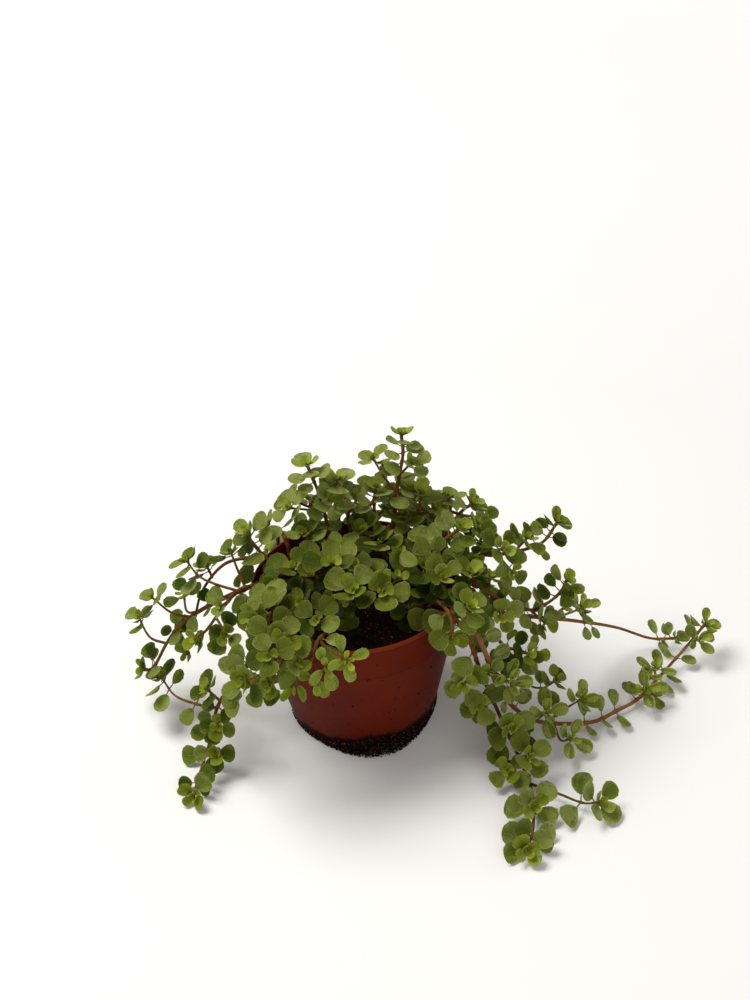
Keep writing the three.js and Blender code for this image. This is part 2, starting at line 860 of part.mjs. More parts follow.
// A blade on a short stalk, as a six-cornered outline whose first edge is the stalk's root. A
// large blade dips to a middle point, a small one bends down along its outer half. Both faces
// are split alike.
function leafSolid(leaf) {
  const half = bladeThickness / 2;
  const root = petioleWidth / 2 / leaf.width;
  const large = leaf.width > largeBlade;
  const bend = large ? 0 : -leaf.cup;
  const corners = [
    [0, -root, 0], [0.52, -0.5, 0], [0.93, -0.32, bend],
    [0.93, 0.32, bend], [0.52, 0.5, 0], [0, root, 0],
  ];
  const rim = corners.length;
  const faces = [[0, 1, 4], [0, 4, 5]];
  if (large) {
    corners.push([0.7, 0, -leaf.cup]);
    faces.push([1, 2, 6], [2, 3, 6], [3, 4, 6], [4, 1, 6]);
  } else {
    faces.push([1, 2, 3], [1, 3, 4]);
  }
  const positions = [];
  for (const side of [half, -half]) {
    for (const [x, y, z] of corners) {
      const p = leaf.point.clone()
        .addScaledVector(leaf.along, x * leaf.length)
        .addScaledVector(leaf.across, y * leaf.width)
        .addScaledVector(leaf.normal, z + side);
      positions.push(p.x, p.y, p.z);
    }
  }
  const triangles = [];
  const under = corners.length;
  for (const [a, b, c] of faces) {
    triangles.push(a, b, c);
    triangles.push(under + c, under + b, under + a);
  }
  for (let i = 0; i < rim; i += 1) {
    const next = (i + 1) % rim;
    triangles.push(i, under + i, next);
    triangles.push(next, under + i, under + next);
  }
  const geometry = new THREE.BufferGeometry();
  geometry.setAttribute("position", new THREE.Float32BufferAttribute(positions, 3));
  geometry.setIndex(triangles);
  return toSolid(geometry);
}

const plant = new THREE.Group();
plant.name = "potted_pilea";
const { axes, leaves } = growPlants();
plant.add(buildPot());
plant.add(buildCompost(axes.filter((axis) => axis.main).map((axis) => axis.run)));

stems.forEach((stem, index) => {
  const pieces = [
    ...axes.filter((axis) => axis.stem === index)
      .map((axis) => toSolid(bar(axis.run.curve, axis.run.steps, axis.radius, stemSides))),
    ...leaves.filter((leaf) => leaf.stem === index).map(leafSolid),
  ];
  const fused = pieces.reduce((sum, piece) => sum.add(piece)).asOriginal().simplify(flatness);
  const shade = new THREE.Color(0x5a7a34).offsetHSL(0, 0, 0.02 * ((index % 5) - 2));
  const material = new THREE.MeshStandardMaterial({
    color: shade,
    roughness: 0.55,
    metalness: 0,
    flatShading: true,
  });
  plant.add(toMesh(fused, `stem_${stem.name}`, material));
});

export default plant;
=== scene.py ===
import math
import bpy
import numpy as np
from mathutils import Matrix, Vector


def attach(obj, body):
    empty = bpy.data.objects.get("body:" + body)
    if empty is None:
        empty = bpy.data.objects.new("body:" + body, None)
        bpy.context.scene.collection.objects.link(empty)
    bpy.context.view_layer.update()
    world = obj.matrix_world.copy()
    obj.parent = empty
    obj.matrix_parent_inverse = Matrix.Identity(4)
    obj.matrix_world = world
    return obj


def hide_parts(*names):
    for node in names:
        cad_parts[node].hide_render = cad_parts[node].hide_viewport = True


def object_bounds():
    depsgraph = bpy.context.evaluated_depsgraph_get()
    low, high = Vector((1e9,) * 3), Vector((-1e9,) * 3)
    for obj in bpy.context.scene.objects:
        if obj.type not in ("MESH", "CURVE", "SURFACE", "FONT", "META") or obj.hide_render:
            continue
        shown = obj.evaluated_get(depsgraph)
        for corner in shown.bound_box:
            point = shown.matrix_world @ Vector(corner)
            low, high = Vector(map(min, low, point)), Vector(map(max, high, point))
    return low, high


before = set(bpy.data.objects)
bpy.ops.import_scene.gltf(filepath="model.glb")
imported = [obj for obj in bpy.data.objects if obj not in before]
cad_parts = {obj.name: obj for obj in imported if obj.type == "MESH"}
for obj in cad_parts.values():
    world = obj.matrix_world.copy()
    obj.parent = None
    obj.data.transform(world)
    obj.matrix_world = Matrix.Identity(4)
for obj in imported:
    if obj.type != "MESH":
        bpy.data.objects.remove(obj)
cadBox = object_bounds()
mm = 0.001
print("frame loaded")

# the view of a person standing in front: the plant lies below the middle of the picture, 41 degrees down
view = {"lens": 48.4, "sensor": 36, "clip": (0.01, 50), "at": (0.0, -0.6001, 0.5740), "pitch": 35.5,
        "yaw": 1.4, "roll": 3.7}
# each lamp: name, place, the point it shines on, size, power, tint
lamps = [("windowLight", (-0.7, 0.35, 1.5), (0, 0, 0.08), 1.0, 25, (1.0, 0.985, 0.95)),
         ("frontFill", (0.5, -1.5, 0.9), (0, 0, 0.06), 1.4, 5.5, (1.0, 0.98, 0.95)),
         ("sideFill", (1.5, 0.3, 0.6), (0, 0, 0.06), 1.0, 3, (1, 1, 1))]
room = {"tint": (1.0, 0.985, 0.96, 1), "light": 0.34, "seen": 1.0}


def placeCamera():
    data = bpy.data.cameras.new("camera")
    data.lens = view["lens"]
    data.sensor_width = view["sensor"]
    data.sensor_fit = "AUTO"
    data.clip_start, data.clip_end = view["clip"]
    camera = bpy.data.objects.new("camera", data)
    bpy.context.scene.collection.objects.link(camera)
    pitch, yaw, roll = (math.radians(view[key]) for key in ("pitch", "yaw", "roll"))
    forward = Vector((math.sin(yaw) * math.cos(pitch), math.cos(yaw) * math.cos(pitch), -math.sin(pitch)))
    level = forward.cross(Vector((0, 0, 1))).normalized()
    upright = level.cross(forward)
    right = level * math.cos(roll) - upright * math.sin(roll)
    up = level * math.sin(roll) + upright * math.cos(roll)
    turn = Matrix((right, up, -forward)).transposed()
    camera.matrix_world = Matrix.Translation(view["at"]) @ turn.to_4x4()
    bpy.context.scene.camera = camera


def addLamp(name, place, target, size, power, tint):
    data = bpy.data.lights.new(name, "AREA")
    data.shape = "DISK"
    data.size = size
    data.energy = power
    data.color = tint
    lamp = bpy.data.objects.new(name, data)
    lamp.location = place
    lamp.rotation_euler = (Vector(target) - Vector(place)).to_track_quat("-Z", "Y").to_euler()
    bpy.context.scene.collection.objects.link(lamp)


def makeRoom():
    # soft light from all round, while what the camera sees of the room is white
    world = bpy.data.worlds.new("room")
    world.use_nodes = True
    tree = world.node_tree
    background = tree.nodes["Background"]
    background.inputs["Color"].default_value = room["tint"]
    strength = tree.nodes.new("ShaderNodeMath")
    strength.operation = "MULTIPLY_ADD"
    strength.inputs[1].default_value = room["seen"] - room["light"]
    strength.inputs[2].default_value = room["light"]
    lightPath = tree.nodes.new("ShaderNodeLightPath")
    tree.links.new(lightPath.outputs["Is Camera Ray"], strength.inputs[0])
    tree.links.new(strength.outputs[0], background.inputs["Strength"])
    bpy.context.scene.world = world
    bpy.context.scene.view_settings.view_transform = "Standard"


placeCamera()
for lamp in lamps:
    addLamp(*lamp)
makeRoom()


class Shader:
    # small wrapper round one material's node tree
    def __init__(self, name):
        self.material = bpy.data.materials.new(name)
        self.material.use_nodes = True
        self.tree = self.material.node_tree
        self.surface = self.tree.nodes["Principled BSDF"]

    def node(self, kind, settings=None, **inputs):
        made = self.tree.nodes.new(kind)
        for key, value in (settings or {}).items():
            setattr(made, key, value)
        for key, value in inputs.items():
            self.feed(made.inputs[key], value)
        return made

    def feed(self, socket, value):
        if isinstance(value, bpy.types.NodeSocket):
            self.tree.links.new(value, socket)
        else:
            socket.default_value = value

    def math(self, operation, a, b=0.0, clamp=False):
        made = self.tree.nodes.new("ShaderNodeMath")
        made.operation = operation
        made.use_clamp = clamp
        self.feed(made.inputs[0], a)
        self.feed(made.inputs[1], b)
        return made.outputs[0]

    def times(self, a, b):
        return self.math("MULTIPLY", a, b)

    def plus(self, a, b):
        return self.math("ADD", a, b)

    def minus(self, a, b):
        return self.math("SUBTRACT", a, b)

    def most(self, a, b):
        return self.math("MAXIMUM", a, b)

    def smooth(self, value, low, high):
        # 0 at low, 1 at high, eased between them and level beyond
        made = self.tree.nodes.new("ShaderNodeMapRange")
        made.interpolation_type = "SMOOTHSTEP"
        self.feed(made.inputs["Value"], value)
        made.inputs["From Min"].default_value = low
        made.inputs["From Max"].default_value = high
        return made.outputs["Result"]

    def blend(self, factor, a, b, mode="MIX"):
        made = self.tree.nodes.new("ShaderNodeMix")
        made.data_type = "RGBA"
        made.blend_type = mode
        for key, value in ((0, factor), (6, a), (7, b)):
            self.feed(made.inputs[key], value)
        return made.outputs[2]

    def noise(self, scale, detail=3, rough=0.55, where=None):
        made = self.node("ShaderNodeTexNoise", Scale=scale, Detail=detail, Roughness=rough)
        self.feed(made.inputs["Vector"], where or self.place())
        return made.outputs["Fac"]

    def place(self):
        return self.node("ShaderNodeTexCoord").outputs["Object"]

    def stretch(self, vector, scale):
        return self.node("ShaderNodeMapping", Vector=vector, Scale=scale).outputs["Vector"]

    def value(self, name):
        return self.node("ShaderNodeAttribute", {"attribute_name": name}).outputs["Fac"]

    def uneven(self, noise, spread, least):
        # roughness that goes with the noise: least + spread times noise
        made = self.math("MULTIPLY_ADD", noise, spread)
        made.node.inputs[2].default_value = least
        return made

    def cover(self, colour, rough):
        self.feed(self.surface.inputs["Base Color"], colour)
        self.feed(self.surface.inputs["Roughness"], rough)

    def settle(self, numbers):
        for key, value in numbers.items():
            self.surface.inputs[key].default_value = value

    def bump(self, height, distance):
        made = self.node("ShaderNodeBump", Height=height, Strength=1.0, Distance=distance)
        self.feed(self.surface.inputs["Normal"], made.outputs["Normal"])


def linear(red, green, blue):
    # colour from 0 to 255 as seen on a screen
    parts = [c / 255 for c in (red, green, blue)]
    return tuple(c / 12.92 if c <= 0.04045 else ((c + 0.055) / 1.055) ** 2.4 for c in parts) + (1,)


def makeMesh(name, points, quads, triangles=(), values=None, uv=None, material=None, smooth=True):
    # points in millimetres, faces as arrays of point numbers, values as one number for each point
    loops = np.concatenate([np.asarray(faces, np.int32).reshape(-1) for faces in (quads, triangles)])
    counts = np.repeat(np.array([4, 3], np.int32), [len(quads), len(triangles)])
    mesh = bpy.data.meshes.new(name)
    mesh.vertices.add(len(points))
    mesh.vertices.foreach_set("co", (np.asarray(points) * mm).astype(np.float32).reshape(-1))
    mesh.loops.add(len(loops))
    mesh.loops.foreach_set("vertex_index", loops)
    mesh.polygons.add(len(counts))
    mesh.polygons.foreach_set("loop_start", (np.cumsum(counts) - counts).astype(np.int32))
    mesh.polygons.foreach_set("loop_total", counts)
    mesh.update(calc_edges=True)
    mesh.polygons.foreach_set("use_smooth", np.full(len(counts), smooth))
    for key, numbers in (values or {}).items():
        layer = mesh.attributes.new(key, "FLOAT", "POINT")
        layer.data.foreach_set("value", np.asarray(numbers, np.float32).reshape(-1))
    if uv is not None:
        layer = mesh.uv_layers.new(name="uv")
        layer.data.foreach_set("uv", np.asarray(uv, np.float32)[loops].reshape(-1))
    if material is not None:
        mesh.materials.append(material)
    mesh.validate()
    piece = bpy.data.objects.new(name, mesh)
    bpy.context.scene.collection.objects.link(piece)
    return piece


def ringQuads(rings, segments):
    # quads between rings of points, each ring closed upon itself
    i, j = np.meshgrid(np.arange(rings - 1), np.arange(segments), indexing="ij")
    a = i * segments + j
    b = i * segments + (j + 1) % segments
    return np.stack([a, b, b + segments, a + segments], -1).reshape(-1, 4)


def poleFans(rings, segments):
    # triangles that close the first and the last ring round two more points, the next in number
    a = np.arange(segments)
    b = (a + 1) % segments
    last, pole = (rings - 1) * segments, rings * segments
    return np.concatenate([np.stack([np.full(segments, pole), b, a], 1),
                           np.stack([np.full(segments, pole + 1), last + a, last + b], 1)])


def tubes(path, radius, first, second, sides):
    # closed tubes: the points of a ring are c + r (u cos a + w sin a) with c on the path. The arrays
    # are path (n, rings, 3), radius (n, rings), and first and second, which are u and w
    n, rings = path.shape[:2]
    turn = np.arange(sides) * 2 * np.pi / sides
    wide = np.cos(turn)[:, None] * first[:, :, None]
    tall = np.sin(turn)[:, None] * second[:, :, None]
    points = path[:, :, None] + radius[..., None, None] * (wide + tall)
    fan = np.stack([np.zeros(sides - 2, int), np.arange(1, sides - 1), np.arange(2, sides)], 1)
    ends = np.concatenate([fan[:, ::-1], fan + (rings - 1) * sides])
    shift = (np.arange(n) * rings * sides)[:, None, None]
    quads = ringQuads(rings, sides) + shift
    return points.reshape(-1, 3), quads.reshape(-1, 4), (ends + shift).reshape(-1, 3)


def unit(v):
    # the same directions with length 1
    v = np.asarray(v, float)
    return v / np.sqrt((v * v).sum(-1, keepdims=True))


def about(random, middle, width):
    # a number drawn from half the width below the middle to half the width above it
    return middle + (random() - 0.5) * width


def upFrom(random, low, width):
    # a number drawn from low to low + width
    return low + width * random()


# half width and level in millimetres; the glow begins and grows over distances in metres
floorForm = {"half": 6000, "level": -0.2, "tints": (linear(243, 243, 241), linear(247, 247, 246)),
             "cloud": (3, 4), "rough": 0.9, "glowFrom": 0.4, "glowOver": 1.7, "glow": 0.65}


def makeFloor():
    # a level square. Away from the plant, where the lamps hardly reach, it glows a little to stay pale
    shader = Shader("floor")
    shader.cover(shader.blend(shader.noise(*floorForm["cloud"]), *floorForm["tints"]), floorForm["rough"])
    away = shader.node("ShaderNodeVectorMath", {"operation": "LENGTH"}, Vector=shader.place())
    beyond = shader.minus(away.outputs["Value"], floorForm["glowFrom"])
    glow = shader.math("DIVIDE", beyond, floorForm["glowOver"], clamp=True)
    shader.settle({"Emission Color": (1, 1, 1, 1)})
    shader.feed(shader.surface.inputs["Emission Strength"], shader.times(glow, floorForm["glow"]))
    corners = [(floorForm["half"] * i, floorForm["half"] * j, floorForm["level"])
               for i, j in ((-1, -1), (1, -1), (1, 1), (-1, 1))]
    floor = makeMesh("floor", corners, [[0, 1, 2, 3]], material=shader.material)


makeFloor()
print("camera, light and floor made")

# the plan of the plant, in millimetres
# Each stem: root in the compost, leaf size, spacing of the older pairs, bare length above the
# root, the points it passes through, and its side shoots, each as the point of the stem it
# leaves (counted from the root) and the points it passes through.
stemPlan = [
    {"name": "left_upper", "root": (-33, 10), "size": 0.88, "gap": 30, "bare": 42,
     "path": [(-44, 0, 93), (-57, -8, 99), (-66, -9, 97), (-78, -5, 80), (-87, -6, 68), (-94, -6, 62)],
     "shoots": [(4, (-80, 3, 94), (-89, 9, 96), (-96, 19, 100)), (3.5, (-65, -2, 106), (-69, 11, 110)),
                (5.3, (-74, -24, 78))]},
    {"name": "left_far", "root": (-36, 20), "size": 0.8, "gap": 32, "bare": 52,
     "path": [(-45, 8, 91), (-58, -3, 95), (-74, 4, 83), (-91, 8, 71), (-105, 13, 57), (-115, 14, 43),
              (-125, 10, 28), (-132, 13, 24)],
     "shoots": [(5, (-99, 9, 70), (-100, 15, 80)), (5.5, (-109, 14, 66), (-120, 22, 72)),
                (7, (-125, 17, 46), (-131, 26, 54))]},
    {"name": "left_trail", "root": (-37, -10), "size": 0.92, "gap": 28, "bare": 26,
     "path": [(-47, -27, 92), (-53, -41, 94), (-61, -55, 83), (-73, -46, 60), (-84, -38, 36),
              (-91, -40, 12), (-97, -56, 4), (-100, -74, 4)],
     "shoots": [(6, (-97, -27, 30), (-111, -13, 25), (-120, 4, 24)), (5.7, (-89, -32, 46)),
                (6.4, (-84, -43, 26)), (7, (-87, -52, 15)), (4.6, (-54, -65, 74))]},
    {"name": "left_rosette", "root": (-31, 1), "size": 0.98, "gap": 30, "bare": 26,
     "path": [(-42, -18, 93), (-48, -40, 104), (-57, -39, 102)],
     "shoots": [(2.5, (-47, -27, 103)), (3, (-46, -57, 105))]},
    {"name": "front_left", "root": (-27, -16), "size": 0.98, "gap": 30, "bare": 20,
     "path": [(-33, -38, 90), (-38, -62, 104)],
     "shoots": [(2.4, (-48, -71, 102))]},
    {"name": "front_low", "root": (-20, -22), "size": 0.98, "gap": 30, "bare": 26,
     "path": [(-28, -44, 91), (-36, -56, 94), (-43, -66, 91), (-50, -68, 80)],
     "shoots": [(4.3, (-63, -71, 86)), (3.6, (-32, -69, 94))]},
    {"name": "front_cascade", "root": (-11, -15), "size": 0.8, "gap": 25, "bare": 26,
     "path": [(-17, -42, 91), (-22, -57, 97), (-26, -69, 95), (-31, -68, 86), (-38, -67, 76)],
     "shoots": [(3.6, (-18, -71, 90)), (2.9, (-14, -69, 99), (-7, -73, 96)), (4.4, (-24, -71, 82))]},
    {"name": "centre_left", "root": (-14, 3), "size": 0.95, "gap": 30, "bare": 20,
     "path": [(-20, -20, 88), (-22, -44, 101)],
     "shoots": [(2.2, (-31, -26, 98)), (2.3, (-12, -27, 97))]},
    {"name": "crown_left", "root": (-22, 22), "size": 1, "gap": 30, "bare": 20,
     "path": [(-29, 6, 90), (-34, -4, 107)],
     "shoots": [(2.2, (-44, -10, 101)), (2.5, (-23, -1, 106))]},
    {"name": "crown_mid", "root": (-9, 16), "size": 1.05, "gap": 30, "bare": 20,
     "path": [(-10, 2, 92), (-12, -13, 115)],
     "shoots": [(2.2, (-24, -11, 105)), (2.5, (-2, -13, 112))]},
    {"name": "crown_front", "root": (1, 7), "size": 1.07, "gap": 30, "bare": 20,
     "path": [(0, -13, 88), (-1, -31, 109)],
     "shoots": [(2.1, (-10, -15, 101)), (2.4, (6, -19, 106))]},
    {"name": "crown_right", "root": (13, 5), "size": 1.07, "gap": 30, "bare": 20,
     "path": [(15, -17, 90), (14, -32, 107)],
     "shoots": [(2.2, (24, -18, 105)), (2.2, (9, -19, 103))]},
    {"name": "soil_right", "root": (24, 2), "size": 0.95, "gap": 30, "bare": 20,
     "path": [(27, -12, 82), (30, -30, 88)],
     "shoots": []},
    {"name": "crown_back", "root": (15, 26), "size": 0.95, "gap": 30, "bare": 20,
     "path": [(19, 14, 92), (16, 11, 109)],
     "shoots": [(2.2, (7, 22, 110)), (2.3, (26, 4, 106))]},
    {"name": "back_left", "root": (-27, 31), "size": 1.02, "gap": 30, "bare": 60,
     "path": [(-37, 15, 92), (-46, 7, 103), (-55, 12, 112), (-59, 17, 118)],
     "shoots": []},
    {"name": "back_small", "root": (-14, 30), "size": 0.9, "gap": 30, "bare": 20,
     "path": [(-20, 20, 95), (-27, 24, 109)],
     "shoots": [(2.4, (-16, 13, 107))]},
    {"name": "back_tall_left", "root": (-13, 43), "size": 0.88, "gap": 28, "bare": 26,
     "path": [(-13, 36, 100), (-16, 38, 123), (-22, 43, 144)],
     "shoots": [(2.6, (-26, 38, 116), (-35, 35, 120)), (2.9, (-10, 31, 126))]},
    {"name": "back_tall_mid", "root": (0, 41), "size": 0.9, "gap": 28, "bare": 26,
     "path": [(0, 34, 98), (-2, 35, 120), (-6, 40, 134)],
     "shoots": [(2.6, (5, 35, 122))]},
    {"name": "back_mid", "root": (10, 40), "size": 0.88, "gap": 28, "bare": 26,
     "path": [(14, 34, 100), (15, 33, 122), (17, 36, 130)],
     "shoots": [(2.4, (23, 34, 116))]},
    {"name": "top_sprig", "root": (22, 34), "size": 0.8, "gap": 22, "bare": 26,
     "path": [(25, 30, 102), (29, 32, 132), (33, 36, 150), (33, 43, 160)],
     "shoots": [(2.8, (21, 38, 136), (16, 42, 146)), (3.3, (38, 31, 148))]},
    {"name": "back_right", "root": (30, 27), "size": 0.92, "gap": 28, "bare": 26,
     "path": [(36, 26, 100), (41, 28, 120), (42, 30, 128)],
     "shoots": [(2.5, (32, 27, 116)), (2.6, (49, 24, 120))]},
    {"name": "right_top", "root": (42, 24), "size": 0.88, "gap": 30, "bare": 26,
     "path": [(48, 13, 96), (55, 12, 112), (63, 17, 120), (71, 20, 124)],
     "shoots": [(3.5, (57, 27, 125)), (3.2, (71, 13, 116))]},
    {"name": "right_high", "root": (35, 18), "size": 0.9, "gap": 30, "bare": 26,
     "path": [(41, 4, 97), (50, -1, 113), (61, 0, 122)],
     "shoots": [(2.6, (46, -12, 112)), (2.5, (41, 0, 112))]},
    {"name": "right_back", "root": (47, 15), "size": 0.84, "gap": 30, "bare": 26,
     "path": [(54, 5, 92), (62, -2, 100), (71, -7, 107), (88, -7, 107), (103, 1, 104), (111, 7, 104),
              (119, 15, 110)],
     "shoots": [(4.1, (83, -16, 118)), (4.6, (88, -18, 102)), (3.6, (73, -2, 116)), (5.2, (99, -1, 112))]},
    {"name": "right_arm", "root": (46, 4), "size": 0.84, "gap": 32, "bare": 26,
     "path": [(53, -6, 97), (62, -16, 102), (68, -29, 103), (82, -29, 90), (98, -21, 76),
              (109, -14, 74), (117, -10, 78), (121, -7, 84)],
     "shoots": [(3.6, (64, -23, 108)), (4.8, (79, -36, 86)), (4.4, (75, -22, 104)), (6, (106, -21, 66))]},
    {"name": "right_thin", "root": (42, -4), "size": 0.7, "gap": 60, "bare": 60,
     "path": [(52, -18, 92), (61, -27, 100), (80, -30, 84), (105, -12, 62), (129, 3, 44),
              (158, 19, 22), (181, 22, 8), (197, 20, 8)],
     "shoots": [(5.4, (134, 7, 50))]},
    {"name": "right_trail", "root": (31, -13), "size": 1, "gap": 30, "bare": 44,
     "path": [(42, -33, 91), (53, -43, 93), (60, -50, 82), (66, -48, 58), (76, -54, 28), (85, -68, 8),
              (89, -90, 4), (86, -115, 4), (80, -133, 6)],
     "shoots": [(4.9, (56, -52, 52)), (6.1, (81, -68, 30)), (7, (90, -78, 18)), (7.2, (77, -79, 10)),
                (8.3, (88, -106, 9)), (7.8, (103, -96, 6), (115, -104, 6), (124, -107, 9)),
                (5.4, (63, -58, 42))]},
    {"name": "right_run", "root": (41, -17), "size": 0.84, "gap": 30, "bare": 26,
     "path": [(50, -31, 94), (59, -40, 92), (68, -49, 74), (77, -48, 42), (89, -45, 20), (104, -43, 8),
              (131, -42, 4), (149, -34, 4), (164, -25, 4), (183, -6, 5), (202, 10, 12), (213, 16, 22)],
     "shoots": [(4.5, (82, -56, 54)), (6.7, (103, -53, 26)), (7, (120, -37, 14), (127, -38, 20)),
                (7.2, (111, -57, 7), (116, -62, 13)), (10.2, (166, -29, 14))]},
    {"name": "right_hang", "root": (34, -6), "size": 0.9, "gap": 30, "bare": 26,
     "path": [(43, -25, 93), (49, -49, 103), (50, -58, 98), (49, -54, 88)],
     "shoots": [(3, (60, -51, 108))]},
    {"name": "right_sprig", "root": (51, -1), "size": 0.78, "gap": 30, "bare": 26,
     "path": [(57, -14, 94), (67, -22, 91), (78, -38, 70), (89, -34, 58), (99, -37, 56)],
     "shoots": [(4.4, (90, -36, 38), (103, -33, 26), (113, -29, 28))]},
    {"name": "right_crown", "root": (26, 14), "size": 0.98, "gap": 30, "bare": 20,
     "path": [(37, -5, 88), (48, -28, 111)],
     "shoots": [(2.4, (39, -14, 110)), (2.3, (54, -36, 105)), (2.1, (36, -20, 98))]},
    {"name": "rear_1", "root": (-47, 19), "size": 0.84, "gap": 30, "bare": 34,
     "path": [(-51, 18, 92), (-57, 20, 97), (-75, 23, 92), (-90, 19, 76), (-97, 14, 56), (-103, 7, 40)],
     "shoots": [(4.5, (-86, 31, 84))]},
    {"name": "rear_2", "root": (-37, 35), "size": 0.9, "gap": 30, "bare": 46,
     "path": [(-38, 38, 92), (-41, 45, 95), (-44, 56, 89), (-45, 62, 68), (-43, 67, 44), (-40, 75, 20),
              (-38, 90, 6)],
     "shoots": [(5.2, (-54, 76, 56)), (6.4, (-28, 82, 36))]},
    {"name": "rear_3", "root": (-22, 46), "size": 0.86, "gap": 30, "bare": 25,
     "path": [(-23, 49, 93), (-23, 55, 99), (-23, 70, 98), (-21, 83, 88)],
     "shoots": [(3.6, (-36, 67, 104))]},
    {"name": "rear_4", "root": (-7, 51), "size": 0.94, "gap": 30, "bare": 25,
     "path": [(-7, 54, 92), (-6, 60, 97), (-3, 78, 93), (3, 92, 74), (9, 99, 48), (14, 101, 22),
              (20, 114, 5), (27, 129, 5)],
     "shoots": [(4.4, (-13, 91, 84)), (6.6, (0, 108, 36))]},
    {"name": "rear_5", "root": (7, 51), "size": 0.86, "gap": 30, "bare": 25,
     "path": [(9, 53, 93), (12, 59, 99), (21, 70, 100), (31, 78, 92)],
     "shoots": [(4.2, (38, 71, 98))]},
    {"name": "rear_6", "root": (22, 46), "size": 0.9, "gap": 30, "bare": 25,
     "path": [(25, 48, 92), (29, 52, 97), (41, 65, 93), (52, 75, 76), (62, 76, 54), (72, 75, 34),
              (83, 75, 20)],
     "shoots": [(4.4, (40, 83, 84)), (5.6, (52, 90, 62))]},
    {"name": "rear_7", "root": (35, 37), "size": 0.86, "gap": 30, "bare": 25,
     "path": [(38, 38, 93), (43, 42, 98), (57, 50, 98), (72, 54, 88), (81, 55, 76)],
     "shoots": [(3.6, (52, 58, 104)), (4.6, (80, 46, 94))]},
]

pot = {"rim": 60, "height": 90, "base": 44, "wall": 1.4, "band": 21.6, "step": 1.5, "lip": 2.8,
       "lipStep": 0.6, "drains": 6, "drainRadius": 4, "drainRing": 29}
compost = {"level": 75.6, "lump": 1.3, "gap": 0.3, "floor": 1.9}
# sizes, angles and the room round each leaf, with which the large leaves come out as in the CAD model
growth = {"largeSeed": 20240, "fineSeed": 515, "rootHeight": 66, "collarHeight": 80, "stemStep": 15,
          "shootStep": 12, "stemRadius": 1.3, "shootRadius": 0.9, "stemRoom": 0.25, "curveSteps": 200,
          "length": 15.5, "width": 11.4, "thickness": 0.6, "petiole": 0.28, "middle": 0.64,
          "bladeHalf": 0.365, "cup": 0.085, "bladeRoom": 0.12, "stalkRoom": (0.6, 0.42),
          "searchReach": 22, "lowestFacing": -0.2, "leastAcross": 0.06,
          "light": (0, -0.2, 1), "lean": 0.45, "leanReach": 60, "forward": 0.55, "tipFollow": 0.6,
          "shootBare": 3, "trailing": 26, "leafyShoot": 36,
          "tipsOnly": ("crown_left", "crown_front", "crown_right", "soil_right")}
potRoom = {"ground": 0.35, "above": 0.8, "outside": 0.5, "inside": 1.1, "compost": 1.6, "underBand": 0.5}
# pairs at a tip, each as the distance back from it, rise of the blade, share of full size, turn and
# age (1 is the youngest), then how much a leaf may differ in turn, rise and size
tips = {"pairs": [(0.9, 34, 0.7, 0, 0.62), (3, 15, 0.98, 90, 0.32)], "turn": 16, "rise": 12, "size": 0.24}
hearts = {"pairs": [(0.9, 22, 0.88, 0, 0.36), (0.6, 36, 0.54, 90, 0.6), (0.4, 52, 0.34, 0, 0.85),
                    (0.2, 66, 0.2, 90, 1.0)],
          "turn": 14, "rise": 10, "size": 0.2, "stage": (0.8, 0.5), "stageAge": 0.5, "slack": 0.85}
# pairs down a stem, the large older ones and the finer ones between them; two numbers are low and width
pairAngles = (118, 62)
olderPairs = {"start": 11, "first": 0, "base": 24, "turn": 20, "rise": 8, "riseSpread": 22, "full": 1,
              "sizeSpread": 0.28, "follow": 0.15, "age": 0.22, "ageFade": 300, "gap": (0.85, 0.3), "slack": 1}
finePairs = {"start": 7.5, "first": 1, "base": 30, "turn": 24, "rise": 10, "riseSpread": 24, "full": 0.95,
             "sizeSpread": 0.3, "follow": 0.25, "age": 0.12, "ageFade": math.inf, "gap": (0.48, 0.18),
             "slack": 0.85, "leafy": 25, "above": 0.85, "wider": 1.5}
twigs = {"pairs": [(0.9, 12, 0.84, 0, 0.3), (0.6, 34, 0.56, 90, 0.6), (0.4, 52, 0.34, 0, 0.85),
                   (0.2, 66, 0.2, 90, 1.0)],
         "share": 0.1, "none": "front_cascade", "start": 7, "step": (4, 4), "above": 0.8, "rise": (25, 35),
         "reach": (6, 6), "follow": 0.3, "sag": 0.06, "runStep": 4, "room": 0.6, "from": 0.8}
# on these stems the finer pairs stand wider apart and twigs are rarer, by this factor
sparse = {"left_upper": 2, "left_far": 2.2, "left_trail": 1.5, "rear_1": 2.6, "right_run": 1.5,
          "right_thin": 3, "back_tall_left": 1.6, "back_tall_mid": 1.5, "back_mid": 1.5,
          "back_left": 1.5, "rear_2": 1.5, "right_trail": 1.15}
# ways to move a leaf aside that has no room: turn and rise in degrees, share of its size
asides = [(0, 0, 1), (18, 0, 1), (-18, 0, 1), (0, 14, 1), (36, 0, 1), (-36, 0, 1), (0, 26, 1), (0, -14, 1),
          (0, 0, 0.85), (24, 14, 0.85), (-24, 14, 0.85), (0, 0, 0.7), (30, 22, 0.7), (-30, 22, 0.7)]
# finer leaves may reach this far past the CAD model's box
overhang = 3.5
leafRoom = np.array([tuple(corner) for corner in cadBox]) * 1000 + overhang * np.array([[-1], [1]])
# points of a leaf that have to be clear of the pot: share of its length, share of its width
clearOutline = np.array([(0.3, -0.3), (0.52, -0.5), (0.75, -0.46), (0.93, -0.3), (1, 0), (0.93, 0.3),
                         (0.75, 0.46), (0.52, 0.5), (0.3, 0.3), (0.62, 0)])


def makeRandom(seed):
    # a fixed sequence from 0 to 1: each state is the last one times a factor plus a step, in 32 bits
    factor, step, whole = 1664525, 1013904223, 2 ** 32
    state = [seed]

    def following():
        state[0] = (state[0] * factor + step) % whole
        return state[0] / whole
    return following


